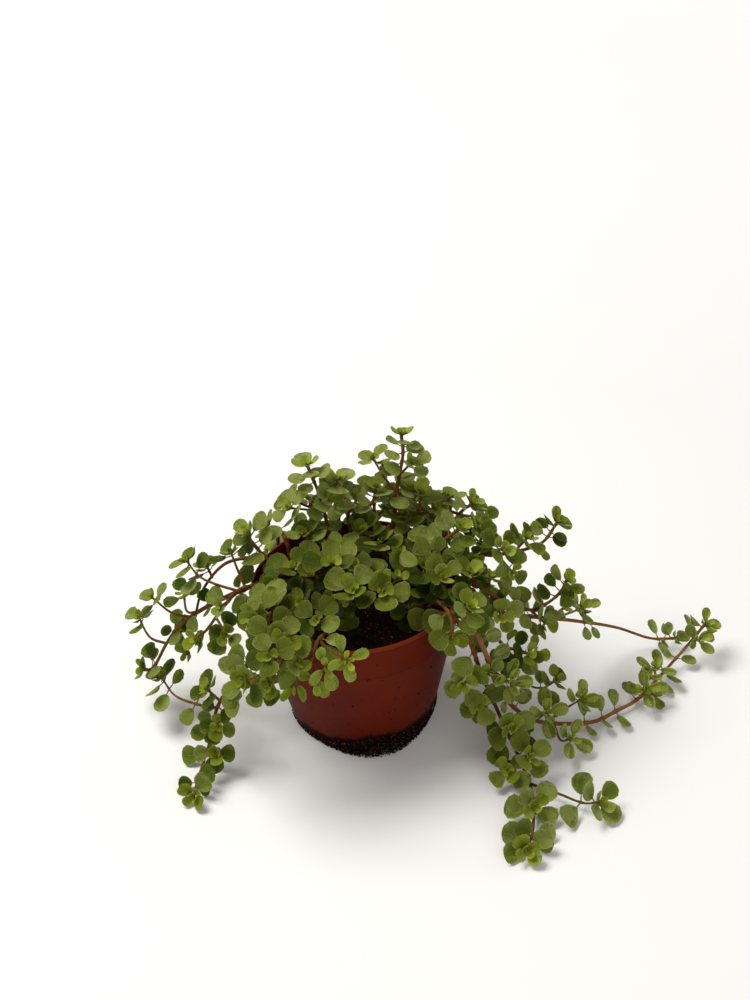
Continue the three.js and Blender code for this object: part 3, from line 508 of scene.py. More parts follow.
def splineAt(points, t):
    # uniform cubic through the points: slopes are half the chord of the two neighbours
    p = np.asarray(points, float)
    q = np.vstack([2 * p[0] - p[1], p, 2 * p[-1] - p[-2]])
    x = np.clip(np.atleast_1d(t), 0, 1) * (len(p) - 1)
    i = np.minimum(x.astype(int), len(p) - 2)
    w = (x - i)[:, None]
    a, b, c, d = q[i], q[i + 1], q[i + 2], q[i + 3]
    u, v = 0.5 * (c - a), 0.5 * (d - b)
    return b + u * w + (3 * (c - b) - 2 * u - v) * w ** 2 + (2 * (b - c) + u + v) * w ** 3


class Run:
    # the course of a stem or shoot: a smooth curve, and its corners at even steps along it
    def __init__(self, points, step):
        self.points = np.asarray(points, float)
        self.places = np.arange(growth["curveSteps"] + 1) / growth["curveSteps"]
        course = splineAt(points, self.places)
        self.travelled = np.concatenate([[0], np.cumsum(np.sqrt(((course[1:] - course[:-1]) ** 2).sum(1)))])
        self.length = self.travelled[-1]
        self.steps = max(2, int(self.length / step + 0.5))
        self.corners = self.along(np.arange(self.steps + 1) / self.steps)

    def along(self, share):
        # points at shares of the length, which is even along the curve
        distance = np.atleast_1d(share) * self.length
        return splineAt(self.points, np.interp(distance, self.travelled, self.places))

    def chord(self, distance):
        # the point at a distance along the straight pieces between corners, and its direction
        x = min(max(distance / self.length, 0), 1) * self.steps
        i = min(int(x), self.steps - 1)
        a, b = self.corners[i], self.corners[i + 1]
        return a + (b - a) * (x - i), unit(b - a)


def runBoxes(run, radius):
    # one box round each straight piece: centre, three axes, three half sizes
    a, b = run.corners[:-1], run.corners[1:]
    length = np.sqrt(((b - a) ** 2).sum(1))
    along = unit(b - a)
    reference = np.where(np.abs(along[:, 2:3]) < 0.8, [[0, 0, 1.0]], [[1.0, 0, 0]])
    across = unit(np.cross(along, reference))
    axes = np.stack([along, across, np.cross(along, across)], 1)
    return (a + b) / 2, axes, np.stack([length / 2, radius + 0 * length, radius + 0 * length], 1)


def boxesMeet(centre, axes, half, centres, manyAxes, halves):
    # two boxes are apart when one of the 15 face and edge axes separates them
    r = np.einsum("jx,nkx->njk", axes, manyAxes)
    s = np.abs(r) + 1e-9
    t = np.einsum("nx,jx->nj", centres - centre, axes)
    apart = np.zeros(len(centres), bool)
    for j in range(3):
        apart |= np.abs(t[:, j]) > half[j] + (halves * s[:, j, :]).sum(1)
        apart |= np.abs((t * r[:, :, j]).sum(1)) > halves[:, j] + (half * s[:, :, j]).sum(1)
    for j in range(3):
        j1, j2 = (j + 1) % 3, (j + 2) % 3
        for k in range(3):
            k1, k2 = (k + 1) % 3, (k + 2) % 3
            gap = np.abs(t[:, j2] * r[:, j1, k] - t[:, j1] * r[:, j2, k])
            own = half[j1] * s[:, j2, k] + half[j2] * s[:, j1, k]
            apart |= gap > own + halves[:, k1] * s[:, j, k2] + halves[:, k2] * s[:, j, k1]
    return ~apart


def nearBoxes(boxes, centre, kin):
    # the rows of boxes that are near enough to matter, without those of the axis called kin
    near = (np.abs(boxes[0] - centre).max(1) < growth["searchReach"]) & (boxes[3][:, 0] != kin)
    return [part[near] for part in boxes]


def extended(rows, more):
    # the arrays with more rows below them
    return [np.concatenate([old, new]) for old, new in zip(rows, more)]


def potOuter(z):
    # radius of the pot's outside at height z: a taper up to the band, then the rim's own radius
    band = pot["height"] - pot["band"]
    taper = pot["base"] + (pot["rim"] - pot["step"] - pot["base"]) * np.clip(z, 0, band) / band
    return np.where(z > band - potRoom["underBand"], pot["rim"], taper)


def clearOfPot(points):
    # true when the points keep clear of the ground, the pot's wall and the compost
    z = points[:, 2]
    if (z < potRoom["ground"]).any():
        return False
    radius = np.hypot(points[:, 0], points[:, 1])
    low = z < pot["height"] + potRoom["above"]
    outside = radius > potOuter(z) + potRoom["outside"]
    inside = radius < pot["rim"] - pot["wall"] - potRoom["inside"]
    if not low.any():
        return True
    if (~outside & (z < compost["level"] + compost["lump"] + potRoom["compost"])).any():
        return False
    if outside.all() or inside.all():
        return True
    return not (low & ~outside & ~inside).any() and not ((low & outside).any() and (low & inside).any())


def facing(point, tangent, follow):
    # which way leaves face at a point of a stem, and the two directions across that. They face the
    # light, lean out with the square of the distance from the pot's axis, and follow the stem
    reach = max(math.hypot(point[0], point[1]), 1)
    lean = growth["lean"] * min(reach / growth["leanReach"], 1) ** 2
    outward = np.array([point[0] / reach, point[1] / reach - growth["forward"], 0])
    face = unit(unit(np.array(growth["light"]) + lean * outward) + follow * tangent)
    side = tangent - face * (tangent @ face)
    if side @ side < growth["leastAcross"]:
        # the stem runs the way its leaves face, so x takes its place
        side = np.array([1.0, 0, 0]) - face * face[0]
    side = unit(side)
    return face, side, np.cross(face, side)


class Plants:
    # lays out the stems, then finds room for one leaf after another. Boxes are kept as four arrays:
    # centres, axes, half sizes, and the numbers of the owner (axis, stem, 1 for a blade)
    def __init__(self):
        self.axes, self.leaves = [], []
        self.stemBoxes = [np.zeros((0, 3)), np.zeros((0, 3, 3)), np.zeros((0, 3)), np.zeros((0, 2), int)]
        self.leafBoxes = [np.zeros((0, 3)), np.zeros((0, 3, 3)), np.zeros((0, 3)), np.zeros((0, 3), int)]
        for number, stem in enumerate(stemPlan):
            collar = [(*stem["root"], growth[key]) for key in ("rootHeight", "collarHeight")]
            points = [*collar, *stem["path"]]
            main = Run(points, growth["stemStep"])
            self.addAxis(number, main, growth["stemRadius"], {"main": True, "bare": stem["bare"], "from": 0})
            for at, *path in stem["shoots"]:
                start = main.travelled[int(growth["curveSteps"] * at / (len(points) - 1) + 0.5)]
                run = Run([main.chord(start)[0], *path], growth["shootStep"])
                self.addAxis(number, run, growth["shootRadius"],
                             {"main": False, "bare": growth["shootBare"], "from": start / main.length})

    def addAxis(self, number, run, radius, facts):
        # a main stem or a side shoot, with the room that it takes up
        boxes = runBoxes(run, radius + growth["stemRoom"])
        owner = np.tile([len(self.axes), number], (run.steps, 1))
        self.stemBoxes = extended(self.stemBoxes, [*boxes, owner])
        self.axes.append({"stem": number, "run": run, **facts})

    def place(self, index, distance, azimuth, rise, size, follow, age, slack=1, kin=-1):
        # tries one leaf in its own place, then turned, lifted or smaller, until it is clear of the rest.
        # slack shrinks the room that it asks for, and it may lie over leaves of the axis called kin
        axis = self.axes[index]
        run = axis["run"]
        point, tangent = run.chord(distance)
        face, side, cross = facing(point, tangent, follow)
        for turn, lift, share in asides:
            a, b = math.radians(azimuth + turn), math.radians(rise + lift)
            length, width = growth["length"] * size * share, growth["width"] * size * share
            out = side * math.cos(a) + cross * math.sin(a)
            along = out * math.cos(b) + face * math.sin(b)
            normal = face * math.cos(b) - out * math.sin(b)
            if normal[2] < growth["lowestFacing"]:
                continue
            across = np.cross(normal, along)
            cup, thick = growth["cup"] * width, growth["thickness"] / 2
            outline = point + clearOutline[:, :1] * length * along + clearOutline[:, 1:] * width * across
            if not clearOfPot(np.concatenate([outline + thick * normal, outline - (thick + cup) * normal])):
                continue
            if slack < 1 and ((outline < leafRoom[0]) | (outline > leafRoom[1])).any():
                continue
            frameOf = np.stack([along, across, normal])
            bladeHalf = [growth["bladeHalf"] * length, 0.5 * width, thick + 0.5 * cup + growth["bladeRoom"]]
            blade = (point + growth["middle"] * length * along - 0.5 * cup * normal,
                     np.array(bladeHalf) * slack)
            stalk = (point + 0.5 * growth["petiole"] * length * along,
                     np.array([0.5 * growth["petiole"] * length, *growth["stalkRoom"]]))
            if self.blocked(blade, stalk, frameOf, index, axis["stem"], kin):
                continue
            owner = [[index, axis["stem"], 1], [index, axis["stem"], 0]]
            rows = ([blade[0], stalk[0]], [frameOf, frameOf], [blade[1], stalk[1]], owner)
            self.leafBoxes = extended(self.leafBoxes, rows)
            smoothPoint = run.along(distance / run.length)[0]
            self.leaves.append({"stem": axis["stem"], "axis": index, "root": smoothPoint, "point": point,
                                "along": along, "across": across, "normal": normal, "length": length,
                                "width": width, "age": age, "place": distance / run.length})
            return True
        return False

    def blocked(self, blade, stalk, frameOf, index, stem, kin):
        # a blade meets nothing; a stalk may meet its own stem and its stalks, and blades on its own axis
        *rows, owner = nearBoxes(self.stemBoxes, blade[0], kin)
        if boxesMeet(blade[0], frameOf, blade[1], *rows).any():
            return True
        if (boxesMeet(stalk[0], frameOf, stalk[1], *rows) & (owner[:, 1] != stem)).any():
            return True
        *rows, owner = nearBoxes(self.leafBoxes, blade[0], kin)
        other, isBlade = owner[:, 1] != stem, owner[:, 2] == 1
        if (boxesMeet(blade[0], frameOf, blade[1], *rows) & (other | isBlade)).any():
            return True
        other = other | (isBlade & (owner[:, 0] != index))
        return (boxesMeet(stalk[0], frameOf, stalk[1], *rows) & other).any()

    def growMain(self):
        # the large leaves: the youngest pairs of every tip, then older pairs down the stems
        random = makeRandom(growth["largeSeed"])
        for index, axis in enumerate(self.axes):
            axis["turn"] = random() * 90
            size, length = stemPlan[axis["stem"]]["size"], axis["run"].length
            pairs = tips["pairs"][1 if axis["bare"] < growth["trailing"] else 0:]
            for back, rise, share, turn, age in pairs:
                for opposite in (0, 180):
                    azimuth = about(random, axis["turn"] + turn + opposite, tips["turn"])
                    lift = about(random, rise, tips["rise"])
                    full = share * size * about(random, 1, tips["size"])
                    self.place(index, length - back, azimuth, lift, full, growth["tipFollow"], age)
        for index, axis in enumerate(self.axes):
            stem = stemPlan[axis["stem"]]
            leafless = not axis["main"] and axis["run"].length < growth["leafyShoot"]
            if stem["name"] not in growth["tipsOnly"] and not leafless:
                self.pairsDown(index, olderPairs, axis["bare"], stem["gap"], random)

    def pairsDown(self, index, kind, bare, step, random):
        # pairs of leaves from near the tip down to the bare part, each pair turned against the last
        length, size = self.axes[index]["run"].length, stemPlan[self.axes[index]["stem"]]["size"]
        back, pair = kind["start"], kind["first"]
        while length - back > bare:
            base = about(random, pairAngles[pair % 2], kind["base"])
            for opposite in (0, 180):
                azimuth = about(random, base + opposite, kind["turn"])
                lift = about(random, kind["rise"], kind["riseSpread"])
                full = size * kind["full"] * about(random, 1, kind["sizeSpread"])
                age = max(kind["age"] - back / kind["ageFade"], 0)
                self.place(index, length - back, azimuth, lift, full, kind["follow"], age, kind["slack"])
            back += step * upFrom(random, *kind["gap"])
            pair += 1

    def rosette(self, index, pairs, random):
        # crossed pairs of leaves round a tip, each pair smaller, steeper and paler than the last
        axis = self.axes[index]
        size, length, found = stemPlan[axis["stem"]]["size"], axis["run"].length, 0
        stage = upFrom(random, *hearts["stage"])
        for back, rise, share, turn, age in pairs:
            for opposite in (0, 180):
                azimuth = about(random, axis["turn"] + turn + opposite, hearts["turn"])
                full = share * size * about(random, 1, hearts["size"])
                full *= stage if age > hearts["stageAge"] else 1
                lift = about(random, rise, hearts["rise"])
                found += self.place(index, length - back, azimuth, lift, full, growth["tipFollow"], age,
                                    hearts["slack"], index)
        return found

    def addTwig(self, index, distance, azimuth, rise, reach, random):
        # a short side shoot with a rosette of its own, where it is clear of the other stems
        axis = self.axes[index]
        point, tangent = axis["run"].chord(distance)
        face, side, cross = facing(point, tangent, twigs["follow"])
        a, b = math.radians(azimuth), math.radians(rise)
        way = (side * math.cos(a) + cross * math.sin(a)) * math.cos(b) + face * math.sin(b)
        middle = point + way * reach * 0.5 - face * reach * twigs["sag"]
        run = Run([point, middle, point + way * reach], twigs["runStep"])
        if not clearOfPot(run.corners[1:] + np.array([0, 0, -1])):
            return
        boxes = runBoxes(run, twigs["room"])
        for centre, axes, half in zip(*[part[1:] for part in boxes]):
            for others in (self.stemBoxes, self.leafBoxes):
                if boxesMeet(centre, axes, half, *nearBoxes(others, centre, index)[:3]).any():
                    return
        self.axes.append({"stem": axis["stem"], "run": run, "main": False, "from": twigs["from"],
                          "turn": random() * 90})
        if not self.rosette(len(self.axes) - 1, twigs["pairs"], random):
            self.axes.pop()
            return
        owner = np.tile([len(self.axes) - 1, axis["stem"]], (run.steps, 1))
        self.stemBoxes = extended(self.stemBoxes, [*boxes, owner])

    def growFine(self):
        # the small leaves at the heart of each tip, then twigs and leaves wherever there is room between
        random = makeRandom(growth["fineSeed"])
        grown = list(enumerate(self.axes))
        for index, axis in grown:
            self.rosette(index, hearts["pairs"][1 if axis["bare"] >= growth["trailing"] else 0:], random)
        for index, axis in grown:
            name, length, back = stemPlan[axis["stem"]]["name"], axis["run"].length, twigs["start"]
            often = 0 if name == twigs["none"] else twigs["share"] / sparse.get(name, 1)
            while axis["bare"] >= growth["trailing"] and length - back > axis["bare"] * twigs["above"]:
                if random() < often:
                    azimuth = random() * 360
                    rise = upFrom(random, *twigs["rise"])
                    reach = upFrom(random, *twigs["reach"])
                    self.addTwig(index, length - back, azimuth, rise, reach, random)
                back += upFrom(random, *twigs["step"])
        for index, axis in grown:
            stem = stemPlan[axis["stem"]]
            if stem["name"] not in growth["tipsOnly"] and axis["bare"] >= finePairs["leafy"]:
                step = stem["gap"] * stem["size"] ** finePairs["wider"] * sparse.get(stem["name"], 1)
                self.pairsDown(index, finePairs, axis["bare"] * finePairs["above"], step, random)


shade = {"beside": 11, "above": 3, "leaves": 6, "outside": 85, "outsideFade": 30, "outsideLeast": 0.35,
         "top": 130, "topFade": 28, "topLeast": 0.2}
# degrees of roll, share of them for the pitch, and the height from which leaves move
sway = {"seed": 12, "large": 7, "fine": 14, "pitch": 0.5, "from": 16}


def canopyShadeDepth(leaves):
    # how deep each leaf lies in the shade of others, painted into its colour as painted shade: the number of
    # leaves close above it, of six, and less of it high up in the crown or beyond the pot's rim
    middle = np.array([leaf["point"] + growth["middle"] * leaf["length"] * leaf["along"] for leaf in leaves])
    gap = middle[None] - middle[:, None]
    above = (np.hypot(gap[..., 0], gap[..., 1]) < shade["beside"]) & (gap[..., 2] > shade["above"])
    reach = np.hypot(middle[:, 0], middle[:, 1])
    beyond = np.clip((shade["outside"] - reach) / shade["outsideFade"], shade["outsideLeast"], 1)
    high = np.clip((shade["top"] - middle[:, 2]) / shade["topFade"], shade["topLeast"], 1)
    return np.clip(above.sum(1) / shade["leaves"], 0, 1) * (beyond * high)


def turned(u, w, angle):
    # two directions turned towards each other: u cos t + w sin t and w cos t - u sin t
    return u * math.cos(angle) + w * math.sin(angle), w * math.cos(angle) - u * math.sin(angle)


def swayLeaves(leaves, largeLeaves, chance):
    # each leaf is rolled about its length and pitched a little, the large ones least; those near the
    # ground stay as they are
    for index, leaf in enumerate(leaves):
        spread = sway["large" if index < largeLeaves else "fine"]
        angles = chance.normal(0, (spread, sway["pitch"] * spread)).clip(-2 * spread, 2 * spread)
        roll, pitch = np.radians(angles)
        if leaf["point"][2] < sway["from"]:
            continue
        leaf["across"], normal = turned(leaf["across"], leaf["normal"], roll)
        leaf["along"], leaf["normal"] = turned(leaf["along"], normal, pitch)


plants = Plants()
plants.growMain()
mainLeaves = len(plants.leaves)
plants.growFine()
for leaf, shadeDepth in zip(plants.leaves, canopyShadeDepth(plants.leaves)):
    leaf["shadeDepth"] = shadeDepth
swayLeaves(plants.leaves, mainLeaves, np.random.default_rng(sway["seed"]))
print("leaves", mainLeaves, "and", len(plants.leaves) - mainLeaves, "finer ones on", len(plants.axes), "axes")

# a blade and its stalk. By stem: slim makes blades narrow and pale, curl bends them, lit lightens them with
# painted light
leafForm = {"seed": 7, "rows": 10, "stalk": 0.25, "youngStalk": (0.8, 1.4, 0.4), "foot": (0.5, 0.4, 1.6),
            "tip": (0.4, 0.5), "broad": 1.1, "thick": 0.45, "cup": (0.35, 1.05), "cupAge": 1.1,
            "bowl": (0.8, 0.7, 1.6), "fold": 0.026, "foldAge": 3, "teeth": 0.05, "teethFrom": (3, 1.2),
            "wave": 0.025, "lean": 0.03, "droop": 0.25, "droopAge": 0.2, "slimLong": 0.6,
            "tone": (0.1, 1.1), "shadeShare": 0.6, "shadeTone": 0.55, "slimTone": 1.5,
            "slim": {"front_cascade": 0.7, "right_run": 0.82, "right_thin": 0.8},
            "curl": {"right_run": 2.4, "right_thin": 2.4},
            "lit": {"right_run": 0.8, "right_thin": 0.8, "top_sprig": 0.65, "back_tall_left": 0.7,
                    "back_tall_mid": 0.6, "right_high": 0.35, "right_trail": 0.25, "left_far": 0.1,
                    "left_upper": 0.05, "back_mid": 0.5, "back_left": 0.3, "back_small": 0.3,
                    "back_right": 0.35, "right_top": 0.25, "rear_2": 0.3}}
stalkForm = {"root": 0.5, "end": 0.3, "rings": 5, "sides": 6, "sag": 0.035, "into": 0.05, "under": 0.012,
             "green": 0.35, "greenAge": 0.8}
stemForm = {"sides": 8, "ring": 1.6, "rootRadius": 1.45, "tipRadius": 0.75, "shootRoot": 0.85,
            "shootTip": 0.5, "taper": 1.3, "swell": 0.3, "node": 1.1, "green": 0.25,
            "greenTip": 3,
            "stout": {"right_run": 1.05, "left_far": 1.15, "rear_1": 0.8},
            "fair": {"right_run": 0.5, "right_thin": 0.35, "left_far": 0.1}}


def column(leaves, key):
    # one property of all the leaves as an array
    return np.array([leaf[key] for leaf in leaves], float)


def stalkShare(age):
    # part of a leaf's length that is stalk: the youngest leaves sit almost on the stem
    less, rate, begin = leafForm["youngStalk"]
    return leafForm["stalk"] * (1 - less * np.clip(age * rate - begin, 0, 1))


def bladeTemplate(rows):
    # places in one blade: s from stalk to tip, closest at both ends, and v from side to side. Point 0
    # is the base and point 1 the tip, then columns of rows: left rim, three on top, right rim, one below
    s = (1 - np.cos(np.pi * np.arange(1, rows + 1) / (rows + 1))) / 2
    s = np.concatenate([[0, 1], np.tile(s, 6)])
    v = np.concatenate([[0, 0], np.repeat([-1, -0.5, 0, 0.5, 1, 0], rows)])
    under = np.concatenate([[0, 0], np.repeat([0, 0, 0, 0, 0, 1], rows)])
    rim = np.concatenate([[1, 1], np.repeat([1, 0, 0, 0, 1, 0], rows)])
    step = np.arange(rows - 1)
    quads, triangles = [], []
    for left, right, up in ((0, 1, 1), (1, 2, 1), (2, 3, 1), (3, 4, 1), (0, 5, 0), (5, 4, 0)):
        i, j = 2 + left * rows, 2 + right * rows
        strip = np.stack([i + step, i + step + 1, j + step + 1, j + step], 1)
        ends = np.array([[0, i, j], [i + rows - 1, 1, j + rows - 1]])
        quads.append(strip if up else strip[:, ::-1])
        triangles.append(ends if up else ends[:, ::-1])
    return s, v, under, rim, np.concatenate(quads), np.concatenate(triangles)


def makeLeaves(name, leaves, material, chance):
    # a blade's half width is s^a (1-s)^b, widest past its middle, with small teeth near the tip. Its
    # height is a bowl, sin(pi s^e)^f along it and 1-|v|^w across it, with a fold along the midrib and
    # a slow wave; its underside is a shallow keel. Slim blades are a little longer, and the oldest
    # droop with s squared
    s, v, under, rim, quads, triangles = bladeTemplate(leafForm["rows"])
    count, size = len(leaves), len(s)
    slim, curl = (leafForm[key].get(name, 1) for key in ("slim", "curl"))
    length, width, age = (column(leaves, key)[:, None] for key in ("length", "width", "age"))
    low, more, power = leafForm["foot"]
    a = low + more * chance.uniform(0, 1, (count, 1)) ** power
    b = chance.uniform(*leafForm["tip"], (count, 1))
    top = a / (a + b)
    half = 0.5 * (s ** a) * ((1 - s) ** b) / (top ** a * (1 - top) ** b)
    tooth = np.cos(np.arange(size) % leafForm["rows"] * np.pi) * leafForm["teeth"]
    rate, begin = leafForm["teethFrom"]
    tooth = tooth * np.clip(s * rate - begin, 0, 1)
    cup = chance.uniform(*leafForm["cup"], (count, 1)) + leafForm["cupAge"] * age
    cup = width * growth["cup"] * curl * cup
    fold = width * leafForm["fold"] * (1 + leafForm["foldAge"] * age)
    wave = width * leafForm["wave"] * chance.uniform(-1, 1, (count, 1))
    lean = width * leafForm["lean"] * chance.uniform(-1, 1, (count, 1))
    stalk = stalkShare(age)
    x = length * (stalk + (1 - stalk) * s) * (2 - slim) ** leafForm["slimLong"]
    age = age + (1 - slim)
    y = width * leafForm["broad"] * slim * v * half * (1 + tooth)
    early, full, wide = leafForm["bowl"]
    bowl = np.sin(np.pi * s ** early) ** full
    z = -cup * bowl * (1 - np.abs(v) ** wide) - fold * (1 - np.abs(v)) * bowl
    z = z + wave * np.sin(2 * np.pi * s + 2 * v) + lean * v * s - under * leafForm["thick"] * bowl
    z = z - np.clip(leafForm["droopAge"] - age, 0, 1) * length * leafForm["droop"] * s ** 2
    point, along, across, normal = (column(leaves, key)[:, None]
                                    for key in ("point", "along", "across", "normal"))
    points = point + x[..., None] * along + y[..., None] * across + z[..., None] * normal
    # painted shade: leaves lying under others are darkened by their shade depth
    shadeDepth = column(leaves, "shadeDepth")
    tone = chance.uniform(*leafForm["tone"], count) * (1 - leafForm["shadeShare"] * shadeDepth)
    tone = tone - leafForm["shadeTone"] * shadeDepth + leafForm["slimTone"] * (1 - slim)
    # painted light: whole stems listed in lit are lightened
    tone = tone + leafForm["lit"].get(name, 0)
    values = {"age": np.repeat(age[:, 0], size), "tone": np.repeat(tone, size), "rim": np.tile(rim, count),
              "under": np.tile(under, count)}
    uv = np.stack([np.tile(s, (count, 1)), 0.5 + v * half], -1).reshape(-1, 2)
    shift = (np.arange(count) * size)[:, None, None]
    piece = makeMesh("leaves_" + name, points.reshape(-1, 3), (quads + shift).reshape(-1, 4),
                     (triangles + shift).reshape(-1, 3), values, uv, material)
    sharpen(piece, np.tile(rim, count) > 0.5)
    return piece


def sharpen(piece, edgePoint):
    # edges that join two points of a rim stay crisp
    mesh = piece.data
    ends = np.zeros(len(mesh.edges) * 2, np.int32)
    mesh.edges.foreach_get("vertices", ends)
    crisp = mesh.attributes.get("sharp_edge") or mesh.attributes.new("sharp_edge", "BOOLEAN", "EDGE")
    crisp.data.foreach_set("value", edgePoint[ends.reshape(-1, 2)].all(1))


def leafStalks(leaves):
    # a stalk is a curve that sags a little between the stem and its blade, and thins as it goes
    start, point, along, across, normal = (column(leaves, key)[:, None]
                                           for key in ("root", "point", "along", "across", "normal"))
    length, age = (column(leaves, key)[:, None, None] for key in ("length", "age"))
    t = np.linspace(0, 1, stalkForm["rings"])[None, :, None]
    reach = stalkShare(age) + stalkForm["into"]
    end = point + reach * length * along - stalkForm["under"] * length * normal
    middle = (start + end) / 2 - stalkForm["sag"] * length * normal
    path = start * (1 - t) ** 2 + middle * 2 * t * (1 - t) + end * t ** 2
    scale = np.sqrt(length[..., 0] / growth["length"])
    radius = (stalkForm["root"] + (stalkForm["end"] - stalkForm["root"]) * t[..., 0]) * scale
    points, quads, ends = tubes(path, radius, across, normal, stalkForm["sides"])
    low = stalkForm["green"]
    green = np.clip(low + (1 - low) * t + stalkForm["greenAge"] * age, 0, 1)[..., 0]
    return points, quads, ends, np.repeat(green, stalkForm["sides"], 1).reshape(-1)


def stemTube(axis, spots):
    # a stem follows its course. Its radius goes from root to tip with the way to the power of the
    # taper, times 1 plus a bell e^-(d/n)^2 at each place where leaves stand
    run, main, begin = axis["run"], axis["main"], axis["from"]
    rings = max(6, int(run.length / stemForm["ring"]))
    share = np.arange(rings) / (rings - 1)
    path = run.along(share)
    tangent = unit(np.gradient(path, axis=0))
    # the first direction is level; up is tilted a little, so that an upright stem has one too
    level = np.cross(path[-1] - path[0], (0.02, 0.03, 1))
    first = unit(level - tangent * (tangent @ level)[:, None])
    second = np.cross(tangent, first)
    root, tip = ("rootRadius", "tipRadius") if main else ("shootRoot", "shootTip")
    radius = stemForm[root] + (stemForm[tip] - stemForm[root]) * share ** stemForm["taper"]
    if main:
        radius = radius * stemForm["stout"].get(stemPlan[axis["stem"]]["name"], 1)
    away = (share[:, None] - np.array(spots)[None]) * run.length / stemForm["node"]
    radius = radius * (1 + stemForm["swell"] * np.exp(-away ** 2).sum(1).clip(0, 1))
    points, quads, ends = tubes(path[None], radius[None], first[None], second[None], stemForm["sides"])
    green = stemForm["green"] * (begin + (1 - begin) * share) ** stemForm["greenTip"]
    green = np.repeat(green, stemForm["sides"])
    return points, quads, ends, green


def makeStems(name, number, leaves, material):
    # the main stem, its shoots and the stalks of its leaves, as one mesh
    parts = [leafStalks(leaves)]
    for index, axis in enumerate(plants.axes):
        if axis["stem"] == number:
            spots = [leaf["place"] for leaf in leaves if leaf["axis"] == index]
            parts.append(stemTube(axis, spots or [1]))
    shifts = np.cumsum([0] + [len(part[0]) for part in parts[:-1]])
    points, green = (np.concatenate([part[i] for part in parts]) for i in (0, 3))
    quads, ends = (np.concatenate([part[i] + shift for part, shift in zip(parts, shifts)]) for i in (1, 2))
    fair = np.full(len(points), stemForm["fair"].get(stemPlan[number]["name"], 0))
    return makeMesh(name, points, quads, ends, {"green": green, "fair": fair}, None, material)


# finishes: colours, noises as scale, detail and roughness, roughness as spread and least value
# for the leaves, deep is painted deep shade, shade colours both darker leaves and painted shade, and light is
# painted sheen
leafFinish = {"deep": linear(20, 26, 0), "shade": linear(48, 58, 0), "plain": linear(93, 104, 2),
              "light": linear(142, 152, 82), "young": linear(160, 174, 38), "rim": linear(168, 175, 112),
              "vein": linear(134, 145, 76), "under": linear(84, 95, 20), "rough": (0.25, 0.4), "bump": 0.0004,
              "sheenPatch": (160, 3, 0.6), "grain": (700, 2), "quilt": (900, 2), "toShade": (-0.5, 0.0),
              "toPlain": (0.0, 0.75), "sheenPatchEdge": (0.1, 0.7), "toLight": (0.05, 1.5), "toYoung": (0.25, 1.1),
              "foot": ((0.3, 0.0), (0.3, 0.05)), "baseShadeShare": 0.5, "sweep": 0.9, "ripple": 34,
              "veinEdge": (0.7, 1.0), "veinReach": (0.46, 0.2), "midribEdge": (0.035, 0.008),
              "sideVein": 0.3, "midrib": 0.4, "clear": (-0.5, 1.1), "rimShare": (0.5, 0.2),
              "rimEdge": (0.86, 0.97), "underEdge": (0.02, 0.25), "underShare": 0.7,
              "quiltHigh": 0.6, "veinDeep": 0.9,
              "surface": {"Specular IOR Level": 0.1, "Subsurface Weight": 0.12,
                          "Subsurface Radius": (0.5, 1.0, 0.25), "Subsurface Scale": 0.0012}}
stemFinish = {"old": linear(70, 36, 8), "red": linear(122, 72, 30), "green": linear(128, 118, 44),
              "fair": linear(168, 112, 74), "scar": linear(52, 24, 8), "rough": (0.3, 0.45), "bump": 0.0002,
              "streak": (260, 4, 0.65), "scars": (1400, 2), "grain": (600, 2), "bark": (1100, 3),
              "streakEdge": (0.3, 0.7), "scarEdge": (0.62, 0.72), "scarShare": 0.6,
              "surface": {"Specular IOR Level": 0.06, "Subsurface Weight": 0.08, "Subsurface Scale": 0.0008}}


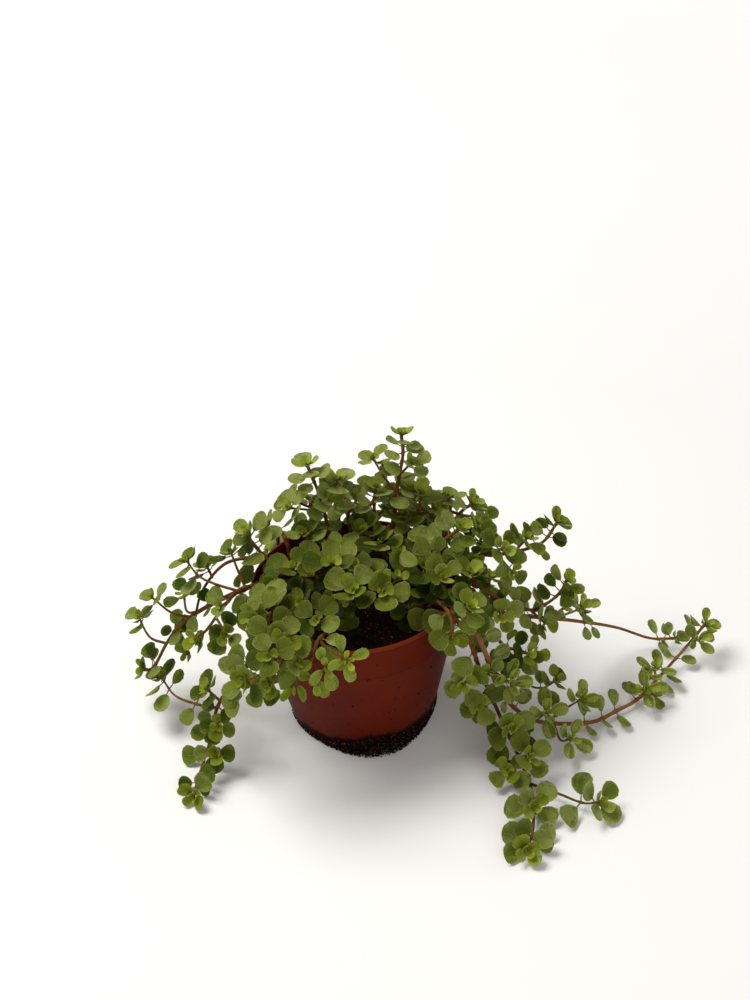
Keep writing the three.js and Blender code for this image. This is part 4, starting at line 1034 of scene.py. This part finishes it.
def leafMaterial():
    shader = Shader("leaf")
    age, tone, rim, under = (shader.value(name) for name in ("age", "tone", "rim", "under"))
    spot = shader.node("ShaderNodeSeparateXYZ", Vector=shader.node("ShaderNodeUVMap").outputs["UV"])
    s = spot.outputs["X"]
    across = shader.math("ABSOLUTE", shader.minus(spot.outputs["Y"], 0.5))
    # tone takes a leaf from painted deep shade to full light, and age turns it yellow green
    colour = shader.blend(shader.smooth(tone, *leafFinish["toShade"]), leafFinish["deep"],
                          leafFinish["shade"])
    colour = shader.blend(shader.smooth(tone, *leafFinish["toPlain"]), colour, leafFinish["plain"])
    # painted sheen: pale patches on the leaves that tone makes light
    sheenPatch = shader.smooth(shader.noise(*leafFinish["sheenPatch"]), *leafFinish["sheenPatchEdge"])
    light = shader.times(shader.smooth(tone, *leafFinish["toLight"]), sheenPatch)
    colour = shader.blend(light, colour, leafFinish["light"])
    colour = shader.blend(shader.smooth(age, *leafFinish["toYoung"]), colour, leafFinish["young"])
    # painted shade: darker at the base of the blade beside the midrib
    baseShadeAlong, baseShadeAcross = leafFinish["foot"]
    foot = shader.times(shader.smooth(s, *baseShadeAlong), shader.smooth(across, *baseShadeAcross))
    colour = shader.blend(shader.times(foot, leafFinish["baseShadeShare"]), colour, leafFinish["shade"])
    # side veins leave the midrib and sweep towards the tip
    sweep = shader.minus(s, shader.times(across, leafFinish["sweep"]))
    ripple = shader.math("SINE", shader.times(sweep, leafFinish["ripple"]))
    sideVein = shader.times(shader.smooth(ripple, *leafFinish["veinEdge"]),
                            shader.smooth(across, *leafFinish["veinReach"]))
    midrib = shader.smooth(across, *leafFinish["midribEdge"])
    veins = shader.most(shader.times(sideVein, leafFinish["sideVein"]),
                        shader.times(midrib, leafFinish["midrib"]))
    clear = shader.smooth(tone, *leafFinish["clear"])
    colour = shader.blend(shader.times(veins, clear), colour, leafFinish["vein"])
    toneShare, ageShare = leafFinish["rimShare"]
    edge = shader.plus(shader.times(clear, toneShare), shader.times(age, ageShare))
    edge = shader.times(shader.smooth(rim, *leafFinish["rimEdge"]), edge)
    colour = shader.blend(edge, colour, leafFinish["rim"])
    below = shader.times(shader.smooth(under, *leafFinish["underEdge"]), leafFinish["underShare"])
    colour = shader.blend(below, colour, leafFinish["under"])
    shader.cover(colour, shader.uneven(shader.noise(*leafFinish["grain"]), *leafFinish["rough"]))
    shader.settle(leafFinish["surface"])
    # the blade is quilted between sunken veins
    quilt = shader.times(shader.noise(*leafFinish["quilt"]), leafFinish["quiltHigh"])
    shader.bump(shader.minus(quilt, shader.times(veins, leafFinish["veinDeep"])), leafFinish["bump"])
    return shader.material


def stemMaterial():
    shader = Shader("stem")
    streak = shader.smooth(shader.noise(*stemFinish["streak"]), *stemFinish["streakEdge"])
    colour = shader.blend(streak, stemFinish["old"], stemFinish["red"])
    colour = shader.blend(shader.value("fair"), colour, stemFinish["fair"])
    scar = shader.smooth(shader.noise(*stemFinish["scars"]), *stemFinish["scarEdge"])
    colour = shader.blend(shader.times(scar, stemFinish["scarShare"]), colour, stemFinish["scar"])
    colour = shader.blend(shader.value("green"), colour, stemFinish["green"])
    shader.cover(colour, shader.uneven(shader.noise(*stemFinish["grain"]), *stemFinish["rough"]))
    shader.settle(stemFinish["surface"])
    shader.bump(shader.noise(*stemFinish["bark"]), stemFinish["bump"])
    return shader.material


leafGreen, stemRed = leafMaterial(), stemMaterial()
chance = np.random.default_rng(leafForm["seed"])
for number, stem in enumerate(stemPlan):
    grown = [leaf for leaf in plants.leaves if leaf["stem"] == number]
    node = "stem_" + stem["name"]
    for piece, slot in ((makeLeaves(stem["name"], grown, leafGreen, chance), "leaf"),
                        (makeStems("stalks_" + stem["name"], number, grown, stemRed), "stem")):
        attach(piece, "root")
        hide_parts(node)
print("leaves and stems made")

potForm = {"segments": 160, "round": 0.5, "roundMost": 0.45, "drainSides": 24, "drainDepth": (-1, 2.6),
           "foot": 1.2, "edge": 0.7, "innerEdge": 0.5, "innerStep": 2.4, "floor": 1.6, "crispAngle": 50}
# colours and noises, then heights in metres: where the paler lip begins, a painted highlight, where the
# painted shade under the step and under the lip comes and goes, and the foot
potFinish = {"deep": linear(80, 20, 3), "plain": linear(97, 27, 6), "lip": linear(116, 40, 16),
             "soil": linear(14, 8, 5), "rough": (0.22, 0.42), "soilRough": 0.85, "bump": 0.0003,
             "cloud": (22, 3, 0.5), "smears": (70, 5, 0.7), "specks": (520, 3, 0.6), "grain": (90, 4, 0.6),
             "flow": (160, 2, 0.5), "flowStretch": (1, 1, 0.06), "cloudEdge": (0.2, 0.7), "ledgeShade": 0.4,
             "smearEdge": (0.78, 0.92), "smearFoot": 0.6, "smear": 0.85, "speckEdge": (0.7, 0.73),
             "speckFoot": 0.12, "speck": 0.8, "flowHigh": 0.25, "soilHigh": 1.2,
             "lipHighlightFrom": (0.0866, 0.0874), "stepShade": ((0.0655, 0.0684), (0.0692, 0.0688)),
             "lipShade": ((0.0858, 0.087), (0.0874, 0.0871)), "foot": (0.024, 0.0),
             "surface": {"Specular IOR Level": 0.1, "IOR": 1.35}}


def roundedProfile(corners, size, steps=4):
    # each inner corner becomes a small curve that leaves and meets its two sides, short of their middles
    p = np.asarray(corners, float)
    back, on = p[:-2] - p[1:-1], p[2:] - p[1:-1]
    reach = np.minimum(size, potForm["roundMost"] * np.minimum(np.hypot(*back.T), np.hypot(*on.T)))[:, None]
    start, end, corner = p[1:-1] + unit(back) * reach, p[1:-1] + unit(on) * reach, p[1:-1]
    t = np.linspace(0, 1, steps)[None, :, None]
    curve = start[:, None] * (1 - t) ** 2 + corner[:, None] * 2 * t * (1 - t) + end[:, None] * t ** 2
    return np.vstack([p[:1], curve.reshape(-1, 2), p[-1:]])


def lathe(profile, segments):
    # points (r cos a, r sin a, z) for every place of the profile but its two ends, which lie on the axis
    angle = np.arange(segments) * 2 * np.pi / segments
    ring = profile[1:-1]
    x, y = ring[:, :1] * np.cos(angle), ring[:, :1] * np.sin(angle)
    points = np.stack([x, y, np.broadcast_to(ring[:, 1:], x.shape)], -1).reshape(-1, 3)
    poles = [[0, 0, profile[0, 1]], [0, 0, profile[-1, 1]]]
    return np.vstack([points, poles]), ringQuads(len(ring), segments), poleFans(len(ring), segments)


def applied(piece):
    # the piece with its modifiers made part of its mesh
    whole = piece.evaluated_get(bpy.context.evaluated_depsgraph_get())
    mesh = bpy.data.meshes.new_from_object(whole)
    piece.modifiers.clear()
    piece.data = mesh
    return piece


def makePot(material):
    # the outline of the wall, from the underside up the outside and down the inside to the floor, is
    # rounded and turned about the axis; then upright cylinders on a ring cut the drain holes
    rim, wall, base, top = pot["rim"], pot["wall"], pot["base"], pot["height"]
    under, step, edge = rim - pot["step"], pot["lipStep"], potForm["edge"]
    band, lip = top - pot["band"], top - pot["lip"]
    corners = [(0, 0), (base - 1, 0), (base, potForm["foot"]), (under, band), (rim - step, band + step),
               (rim - step, lip), (rim, lip + step), (rim, top - edge), (rim - edge, top),
               (rim - wall, top - potForm["innerEdge"]), (under, band + potForm["innerStep"]),
               (under - wall, band), (base - wall, potForm["floor"]), (0, potForm["floor"])]
    points, quads, caps = lathe(roundedProfile(corners, potForm["round"]), potForm["segments"])
    piece = makeMesh("pot_shell", points, quads, caps, material=material)
    spot = (np.arange(pot["drains"]) + 0.5) * 2 * np.pi / pot["drains"]
    x, y = pot["drainRing"] * np.cos(spot), pot["drainRing"] * np.sin(spot)
    path = np.stack([np.stack([x, y, 0 * x + level], 1) for level in potForm["drainDepth"]], 1)
    radius = np.full(path.shape[:2], pot["drainRadius"], float)
    first, second = np.array([[[1.0, 0, 0]]]), np.array([[[0, 1.0, 0]]])
    cutter = makeMesh("drain_cutter", *tubes(path, radius, first, second, potForm["drainSides"]))
    cut = piece.modifiers.new("drains", "BOOLEAN")
    cut.operation, cut.solver, cut.object = "DIFFERENCE", "EXACT", cutter
    applied(piece)
    bpy.data.objects.remove(cutter)
    piece.data.polygons.foreach_set("use_smooth", np.ones(len(piece.data.polygons), bool))
    piece.data.set_sharp_from_angle(angle=math.radians(potForm["crispAngle"]))
    return piece


def potMaterial():
    shader = Shader("pot_plastic")
    place = shader.place()
    height = shader.node("ShaderNodeSeparateXYZ", Vector=place).outputs["Z"]
    cloud = shader.smooth(shader.noise(*potFinish["cloud"]), *potFinish["cloudEdge"])
    colour = shader.blend(cloud, potFinish["deep"], potFinish["plain"])
    # painted highlight: the lip is paler than the wall below it
    colour = shader.blend(shader.smooth(height, *potFinish["lipHighlightFrom"]), colour, potFinish["lip"])
    # painted shade: dark lines under the step of the band and under the lip
    lines = [shader.times(*(shader.smooth(height, *ends) for ends in potFinish[key]))
             for key in ("stepShade", "lipShade")]
    ledgeShade = shader.times(shader.most(*lines), potFinish["ledgeShade"])
    colour = shader.blend(ledgeShade, colour, potFinish["deep"], "MULTIPLY")
    # soil: smears and specks all over, thicker towards the foot
    foot = shader.smooth(height, *potFinish["foot"])
    coarse, fine = shader.noise(*potFinish["smears"]), shader.noise(*potFinish["specks"])
    coarse = shader.plus(coarse, shader.times(foot, potFinish["smearFoot"]))
    smear = shader.smooth(coarse, *potFinish["smearEdge"])
    fine = shader.plus(fine, shader.times(foot, potFinish["speckFoot"]))
    speck = shader.smooth(fine, *potFinish["speckEdge"])
    soil = shader.most(shader.times(smear, potFinish["smear"]), shader.times(speck, potFinish["speck"]))
    colour = shader.blend(soil, colour, potFinish["soil"])
    rough = shader.uneven(shader.noise(*potFinish["grain"]), *potFinish["rough"])
    shader.cover(colour, shader.most(rough, shader.times(soil, potFinish["soilRough"])))
    shader.settle(potFinish["surface"])
    # faint vertical flow lines of the moulding, with the soil standing proud
    flow = shader.noise(*potFinish["flow"], shader.stretch(place, potFinish["flowStretch"]))
    raised = shader.plus(shader.times(flow, potFinish["flowHigh"]), shader.times(soil, potFinish["soilHigh"]))
    shader.bump(raised, potFinish["bump"])
    return shader.material


compostForm = {"seed": 31, "rings": 46, "segments": 150, "waves": 46, "waveLength": (3.2, 22), "lump": 0.55,
               "longer": 0.7, "squeeze": 1.2, "over": 0.6, "crowd": 0.85, "bend": 68.0, "lowGap": 0.3,
               "tone": 0.4}
compostFinish = {"dark": linear(3, 2, 1), "plain": linear(30, 16, 9), "light": linear(128, 74, 46),
                 "pale": linear(190, 168, 118), "rough": (0.2, 0.75), "bump": 0.0006,
                 "grain": (900, 5, 0.7), "fine": (300, 2), "bumps": (1300, 4, 0.65), "mix": (0.6, 0.55),
                 "toPlain": (0.2, 0.62), "toLight": (0.62, 0.95), "toPale": (1.2, 1.5),
                 "surface": {"Specular IOR Level": 0.1}}
soilChance = np.random.default_rng(compostForm["seed"])
waveWay = soilChance.uniform(0, 2 * np.pi, compostForm["waves"])
waveLong = soilChance.uniform(*compostForm["waveLength"], compostForm["waves"])
wavePhase = soilChance.uniform(0, 2 * np.pi, compostForm["waves"])


def compostTop(x, y):
    # level of the compost: many small sine waves, each with its own direction and length and the
    # longer ones higher, added up and squeezed into rounded lumps by tanh
    x, y = np.asarray(x, float)[..., None], np.asarray(y, float)[..., None]
    phase = 2 * np.pi * (x * np.cos(waveWay) + y * np.sin(waveWay)) / waveLong + wavePhase
    high = waveLong ** compostForm["longer"]
    rise = (np.sin(phase) * high).sum(-1) / high.sum() * compostForm["waves"] ** 0.5
    return compost["level"] + compostForm["lump"] * compost["lump"] * np.tanh(compostForm["squeeze"] * rise)


def makeCompost(material):
    # the top is the wavy level over rings, closer together at the wall; then the side follows the
    # pot's wall down to its floor
    rim = pot["rim"] - pot["step"] - pot["wall"] - compost["gap"]
    base = pot["base"] - pot["wall"] - compost["gap"] - compostForm["lowGap"]
    rings, segments = compostForm["rings"], compostForm["segments"]
    radius = (rim + compostForm["over"]) * (np.arange(1, rings + 1) / rings) ** compostForm["crowd"]
    angle = np.arange(segments) * 2 * np.pi / segments
    x, y = radius[:, None] * np.cos(angle), radius[:, None] * np.sin(angle)
    top = np.stack([x, y, compostTop(x, y)], -1)[::-1]
    side = np.array([(rim, compostForm["bend"]), (base, compost["floor"])])
    low = np.stack([side[:, :1] * np.cos(angle), side[:, :1] * np.sin(angle),
                    np.broadcast_to(side[:, 1:], (2, segments))], -1)[::-1]
    points = np.concatenate([low, top]).reshape(-1, 3)
    points = np.vstack([points, [0, 0, compost["floor"]], [0, 0, compostTop(0, 0)]])
    tone = np.full(len(points), compostForm["tone"])
    return makeMesh("compost_bed", points, ringQuads(rings + 2, segments), poleFans(rings + 2, segments),
                    {"tone": tone}, None, material)


# kinds on the compost: number, smallest, largest, stretch, range of tone, how far they stand out of it.
# Then specks on the outside of the pot and the crust round its foot, where -90 degrees is the front
crumbForm = {"seed": 88, "edge": 2.6, "uneven": (0.75, 1.2), "flat": 0.75, "smaller": 2.2,
             "kinds": [(2600, 0.3, 1.15, 1.0, (0.0, 0.95), 0.15), (170, 0.14, 0.24, 9.0, (0.6, 0.95), 0.9),
                       (60, 0.25, 0.5, 1.0, (1.6, 1.9), 0.6)],
             "specks": {"number": 90, "low": 6, "high": 76, "at": -60, "wide": 55, "size": (0.2, 0.5),
                        "tone": (0, 0.3)},
             "crust": {"number": 4600, "at": -80, "wide": 28, "high": 9, "thick": 8.5, "size": (0.22, 0.6),
                       "least": 0.8, "gap": 0.3, "lift": 1.3, "ragged": 0.5, "loose": 0.7, "front": 1.4,
                       "slope": 1.5, "darker": 2.5}}


def angularBall():
    # a 20-faced ball: the 12 points are the turns of (0, 1, g) with every sign, g the golden ratio
    g = (1 + 5 ** 0.5) / 2
    ball = unit([(-1, g, 0), (1, g, 0), (-1, -g, 0), (1, -g, 0), (0, -1, g), (0, 1, g), (0, -1, -g),
                 (0, 1, -g), (g, 0, -1), (g, 0, 1), (-g, 0, -1), (-g, 0, 1)])
    faces = np.array([(0, 11, 5), (0, 5, 1), (0, 1, 7), (0, 7, 10), (0, 10, 11), (1, 5, 9), (5, 11, 4),
                      (11, 10, 2), (10, 7, 6), (7, 1, 8), (3, 9, 4), (3, 4, 2), (3, 2, 6), (3, 6, 8),
                      (3, 8, 9), (4, 9, 5), (2, 4, 11), (6, 2, 10), (8, 6, 7), (9, 8, 1)])
    return ball, faces


def crumbs(places, size, tone, chance):
    # angular crumbs: a 20-faced ball, each turned and squashed its own way
    ball, faces = angularBall()
    count, corners = len(places), len(ball)
    first = unit(chance.normal(size=(count, 3)))
    second = unit(np.cross(first, chance.normal(size=(count, 3))))
    axes = np.stack([first, second, np.cross(first, second)], 1)
    rough = ball[None] * chance.uniform(*crumbForm["uneven"], (count, corners, 1)) * size[:, None]
    points = np.asarray(places)[:, None] + rough @ axes
    shift = (np.arange(count) * corners)[:, None, None]
    return points.reshape(-1, 3), (faces + shift).reshape(-1, 3), np.repeat(tone, corners)


def roundPlaces(radius, angle, level):
    # points (r cos a, r sin a, z)
    return np.stack([radius * np.cos(angle), radius * np.sin(angle), level], 1)


def makeCrumbs(material):
    # each group is its places, its sizes along three axes and its tones. Places are r cos a, r sin a
    # and a level, and powers of the random numbers make small or dark crumbs more common
    chance = np.random.default_rng(crumbForm["seed"])
    specks, crust = crumbForm["specks"], crumbForm["crust"]
    inside = pot["rim"] - pot["wall"] - crumbForm["edge"]
    groups = []
    for count, small, large, stretch, tones, sink in crumbForm["kinds"]:
        r, a = inside * np.sqrt(chance.uniform(0, 1, count)), chance.uniform(0, 2 * np.pi, count)
        size = small + (large - small) * chance.uniform(0, 1, count) ** crumbForm["smaller"]
        level = compostTop(r * np.cos(a), r * np.sin(a)) + sink * size
        flat = np.array([1, 1, crumbForm["flat"]]) if stretch == 1 else np.array([stretch, 1, 1])
        groups.append((roundPlaces(r, a, level), size[:, None] * flat, chance.uniform(*tones, count)))
    # specks cling here and there to the outside of the pot
    count = specks["number"]
    z = specks["low"] + specks["high"] * chance.uniform(0, 1, count)
    a = np.radians(chance.normal(specks["at"], specks["wide"], count))
    size = chance.uniform(*specks["size"], count)
    groups.append((roundPlaces(potOuter(z), a, z), size[:, None] * np.ones(3),
                   chance.uniform(*specks["tone"], count)))
    # a crust round its foot, a wedge that is highest and thickest in front: with u from 0 at its
    # bottom to 1 at its top and a bell b round the front, its thickness is b^front (1-u)^slope
    count = crust["number"]
    away = chance.normal(0, 1, count)
    bulk = np.exp(-away ** 2 / 2)
    a = np.radians(crust["at"] + crust["wide"] * away)
    size = chance.uniform(*crust["size"], count)
    up = chance.uniform(0, 1, count)
    high = crust["least"] + crust["high"] * bulk * chance.uniform(crust["ragged"], 1, count)
    z = crust["lift"] * size + high * up
    out = crust["gap"] + crust["thick"] * bulk ** crust["front"] * (1 - up) ** crust["slope"]
    r = potOuter(z) + out * chance.uniform(crust["loose"], 1, count)
    tone = chance.uniform(0, 1, count) ** crust["darker"]
    groups.append((roundPlaces(r, a, z), size[:, None] * np.ones(3), tone))
    places, sizes, tones = (np.concatenate(parts) for parts in zip(*groups))
    points, faces, tone = crumbs(places, sizes, tones, chance)
    return makeMesh("compost_crumbs", points, (), faces, {"tone": tone}, None, material, False)


def compostMaterial():
    shader = Shader("compost")
    tone = shader.value("tone")
    grain = shader.noise(*compostFinish["grain"])
    toneShare, grainShare = compostFinish["mix"]
    mixed = shader.plus(shader.times(tone, toneShare), shader.times(grain, grainShare))
    colour = shader.blend(shader.smooth(mixed, *compostFinish["toPlain"]), compostFinish["dark"],
                          compostFinish["plain"])
    colour = shader.blend(shader.smooth(mixed, *compostFinish["toLight"]), colour, compostFinish["light"])
    colour = shader.blend(shader.smooth(tone, *compostFinish["toPale"]), colour, compostFinish["pale"])
    shader.cover(colour, shader.uneven(shader.noise(*compostFinish["fine"]), *compostFinish["rough"]))
    shader.settle(compostFinish["surface"])
    shader.bump(shader.noise(*compostFinish["bumps"]), compostFinish["bump"])
    return shader.material


potPlastic, peat = potMaterial(), compostMaterial()
for piece, node, slot in ((makePot(potPlastic), "pot", "pot_plastic"),
                          (makeCompost(peat), "compost", "compost"),
                          (makeCrumbs(peat), "compost", "compost")):
    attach(piece, "root")
    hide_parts(node)
print("pot and compost made")
